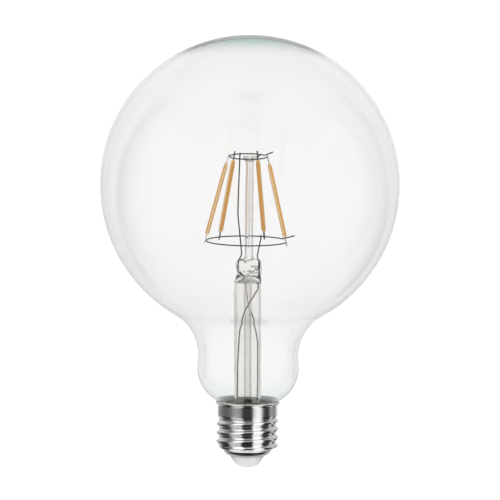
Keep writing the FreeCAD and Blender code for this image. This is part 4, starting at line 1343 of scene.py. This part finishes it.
def sort_rays(tree, rays, metal, sharp, matt):
    """Rough rays get the metal level, sharp ones their own, and those from matt surfaces an even one."""
    bright = sum_up(tree, "MULTIPLY", metal, METAL_GAIN)
    mirrored = blend(tree, "FLOAT", rays["Is Singular Ray"], bright, sharp)
    from_matt = sum_up(tree, "GREATER_THAN", rays["Diffuse Depth"], 0.5)
    return blend(tree, "FLOAT", from_matt, mirrored, matt)


print("gain for metal:", METAL_GAIN)

# %% [markdown]
# ## The room
# The world stands for the walls of the studio. Real walls would have to be built and hidden from the
# camera, and the world needs no shape. Metal sees its panels above the horizon, and at the horizon
# they blend into the table's pattern, so that no line is mirrored where the two meet.

# %% World
HORIZON_FROM, HORIZON_TO = 0.03, 0.16
CEILING_LEVEL, EVEN_ROOM = 0.8, 1.12
world = bpy.data.worlds.new("studio")
scene.world = world
world.use_nodes = True
tree = world.node_tree
sky = add(tree, "ShaderNodeTexCoord").outputs["Generated"]
rise = add(tree, "ShaderNodeSeparateXYZ", Vector=sky).outputs["Z"]
raised = soft_step(tree, rise, HORIZON_FROM, HORIZON_TO)
panels = light_from(tree, PANEL_LIGHT, sky, Side=CEILING_LEVEL)
metal = blend(tree, "FLOAT", raised, light_from(tree, TABLE_LIGHT, sky), panels)
rays = add(tree, "ShaderNodeLightPath").outputs
level = sort_rays(tree, rays, metal, light_from(tree, GLASS_LIGHT, sky), EVEN_ROOM)
background = tree.nodes["Background"]
background.inputs["Color"].default_value = (1, 1, 1, 1)
feed(tree, background.inputs["Strength"], blend(tree, "FLOAT", rays["Is Camera Ray"], level, 1.0))
print("world nodes:", len(tree.nodes))

# %% [markdown]
# ## The table
# The bulb stands on a white table that runs into the backdrop. White paper in full light would lose
# its shadow, so the camera sees grey paper with a glow added, which comes out white and keeps a soft
# shadow. Mirrored rays see it by distance: pale right under the contact, then the pattern of the
# cards beside the cap, and farther out the pattern of the table.

# %% Table
# distances from the middle in metres, and the levels there
UNDER_FROM, UNDER_TO, UNDER_LEVEL = 0.0125, 0.009, 0.8
CARDS_FROM, CARDS_TO = 0.10, 0.17
GLASS_FROM, GLASS_TO, GLASS_NEAR = 0.08, 0.16, 0.7
EVEN_TABLE = 1.02
TABLE_CORNERS = [(-15, -15, 0), (15, -15, 0), (15, 30, 0), (-15, 30, 0)]
floor_mesh = bpy.data.meshes.new("studio_floor")
floor_mesh.from_pydata(TABLE_CORNERS, [], [(0, 1, 2, 3)])
floor = bpy.data.objects.new("studio_floor", floor_mesh)
scene.collection.objects.link(floor)
paper_look = bpy.data.materials.new("studio_paper")
paper_look.use_nodes = True
floor_mesh.materials.append(paper_look)
tree = paper_look.node_tree
tree.nodes.remove(tree.nodes["Principled BSDF"])
rays = add(tree, "ShaderNodeLightPath").outputs
where = add(tree, "ShaderNodeTexCoord").outputs["Object"]
reach = add(tree, "ShaderNodeVectorMath", operation="LENGTH", Vector=where).outputs["Value"]
far_out = soft_step(tree, reach, CARDS_FROM, CARDS_TO)
cards = light_from(tree, LOW_LIGHT, where)
beside = blend(tree, "FLOAT", far_out, cards, light_from(tree, TABLE_LIGHT, where))
metal = blend(tree, "FLOAT", soft_step(tree, reach, UNDER_FROM, UNDER_TO), beside, UNDER_LEVEL)
apart = soft_step(tree, reach, GLASS_FROM, GLASS_TO)
sharp = blend(tree, "FLOAT", apart, GLASS_NEAR, light_from(tree, GLASS_LIGHT, where))
level = sort_rays(tree, rays, metal, sharp, EVEN_TABLE)
print("levels on the table:", len(tree.nodes), "nodes")

# %% Table shader
CAMERA_GLOW, PAPER = 0.74, (0.42, 0.42, 0.42, 1)
seen = sum_up(tree, "MULTIPLY", rays["Is Camera Ray"], CAMERA_GLOW)
glow = add(tree, "ShaderNodeEmission", Color=(1, 1, 1, 1), Strength=seen)
paper = add(tree, "ShaderNodeBsdfDiffuse", Color=PAPER)
lit = add(tree, "ShaderNodeAddShader")
mirror_glow = add(tree, "ShaderNodeEmission", Color=(1, 1, 1, 1), Strength=level)
bent = sum_up(tree, "ADD", rays["Is Glossy Ray"], rays["Is Transmission Ray"], clamp=True)
choose = add(tree, "ShaderNodeMixShader", Fac=bent)
for socket, shader in (
    (lit.inputs[0], glow),
    (lit.inputs[1], paper),
    (choose.inputs[1], lit),
    (choose.inputs[2], mirror_glow),
    (tree.nodes["Material Output"].inputs["Surface"], choose),
):
    feed(tree, socket, shader.outputs[0])
print("table finish:", paper_look.name)

# %% [markdown]
# ## Lamps
# Two large soft squares stand high at the front, left and right. They shape the matt pieces and cast
# the faint shadow. They are hidden from mirrors and glass, which see the patterns instead, so no
# square lamp is reflected in the globe.


# %% Lamps
def lamp(name, place, size, power, target=(0, 0, 0.09)):
    """A large soft square of light that looks at a target."""
    data = bpy.data.lights.new(name, "AREA")
    data.shape = "SQUARE"
    data.size = size
    data.energy = power
    obj = bpy.data.objects.new(name, data)
    obj.location = place
    obj.rotation_euler = (Vector(target) - Vector(place)).to_track_quat("-Z", "Y").to_euler()
    obj.visible_camera = False
    obj.visible_glossy = False
    obj.visible_transmission = False
    scene.collection.objects.link(obj)
    return obj


lamp("soft_left", (-1.2, -1.1, 1.5), 1.2, 8.0)
lamp("soft_right", (1.4, -0.8, 1.1), 1.0, 4.0)
print("lamps:", len(bpy.data.lights))

# %% [markdown]
# ## Camera
# A long lens far away keeps the globe round and both ends of the bulb at one scale. It looks down by
# about five degrees, which opens the hoops to thin ellipses, and it is rolled by a fraction of a
# degree, as the bulb stands in its picture.

# %% Camera
CAMERA_ROLL = 0.6
camera_data = bpy.data.cameras.new("camera")
camera_data.lens = 330.0
camera_data.sensor_width = 36.0
camera_data.clip_start = 0.05
camera_data.clip_end = 100.0
camera = bpy.data.objects.new("camera", camera_data)
scene.collection.objects.link(camera)
scene.camera = camera
place = Vector((0.0, -1.9, 0.27))
aim = Vector((0.0003, 0.0, 0.0910))
look = (aim - place).to_track_quat("-Z", "Y").to_matrix().to_4x4()
roll = Matrix.Rotation(math.radians(CAMERA_ROLL), 4, "Z")
camera.matrix_world = Matrix.Translation(place) @ look @ roll
scene.view_settings.view_transform = "Standard"
print("camera distance in metres:", round((aim - place).length, 3))
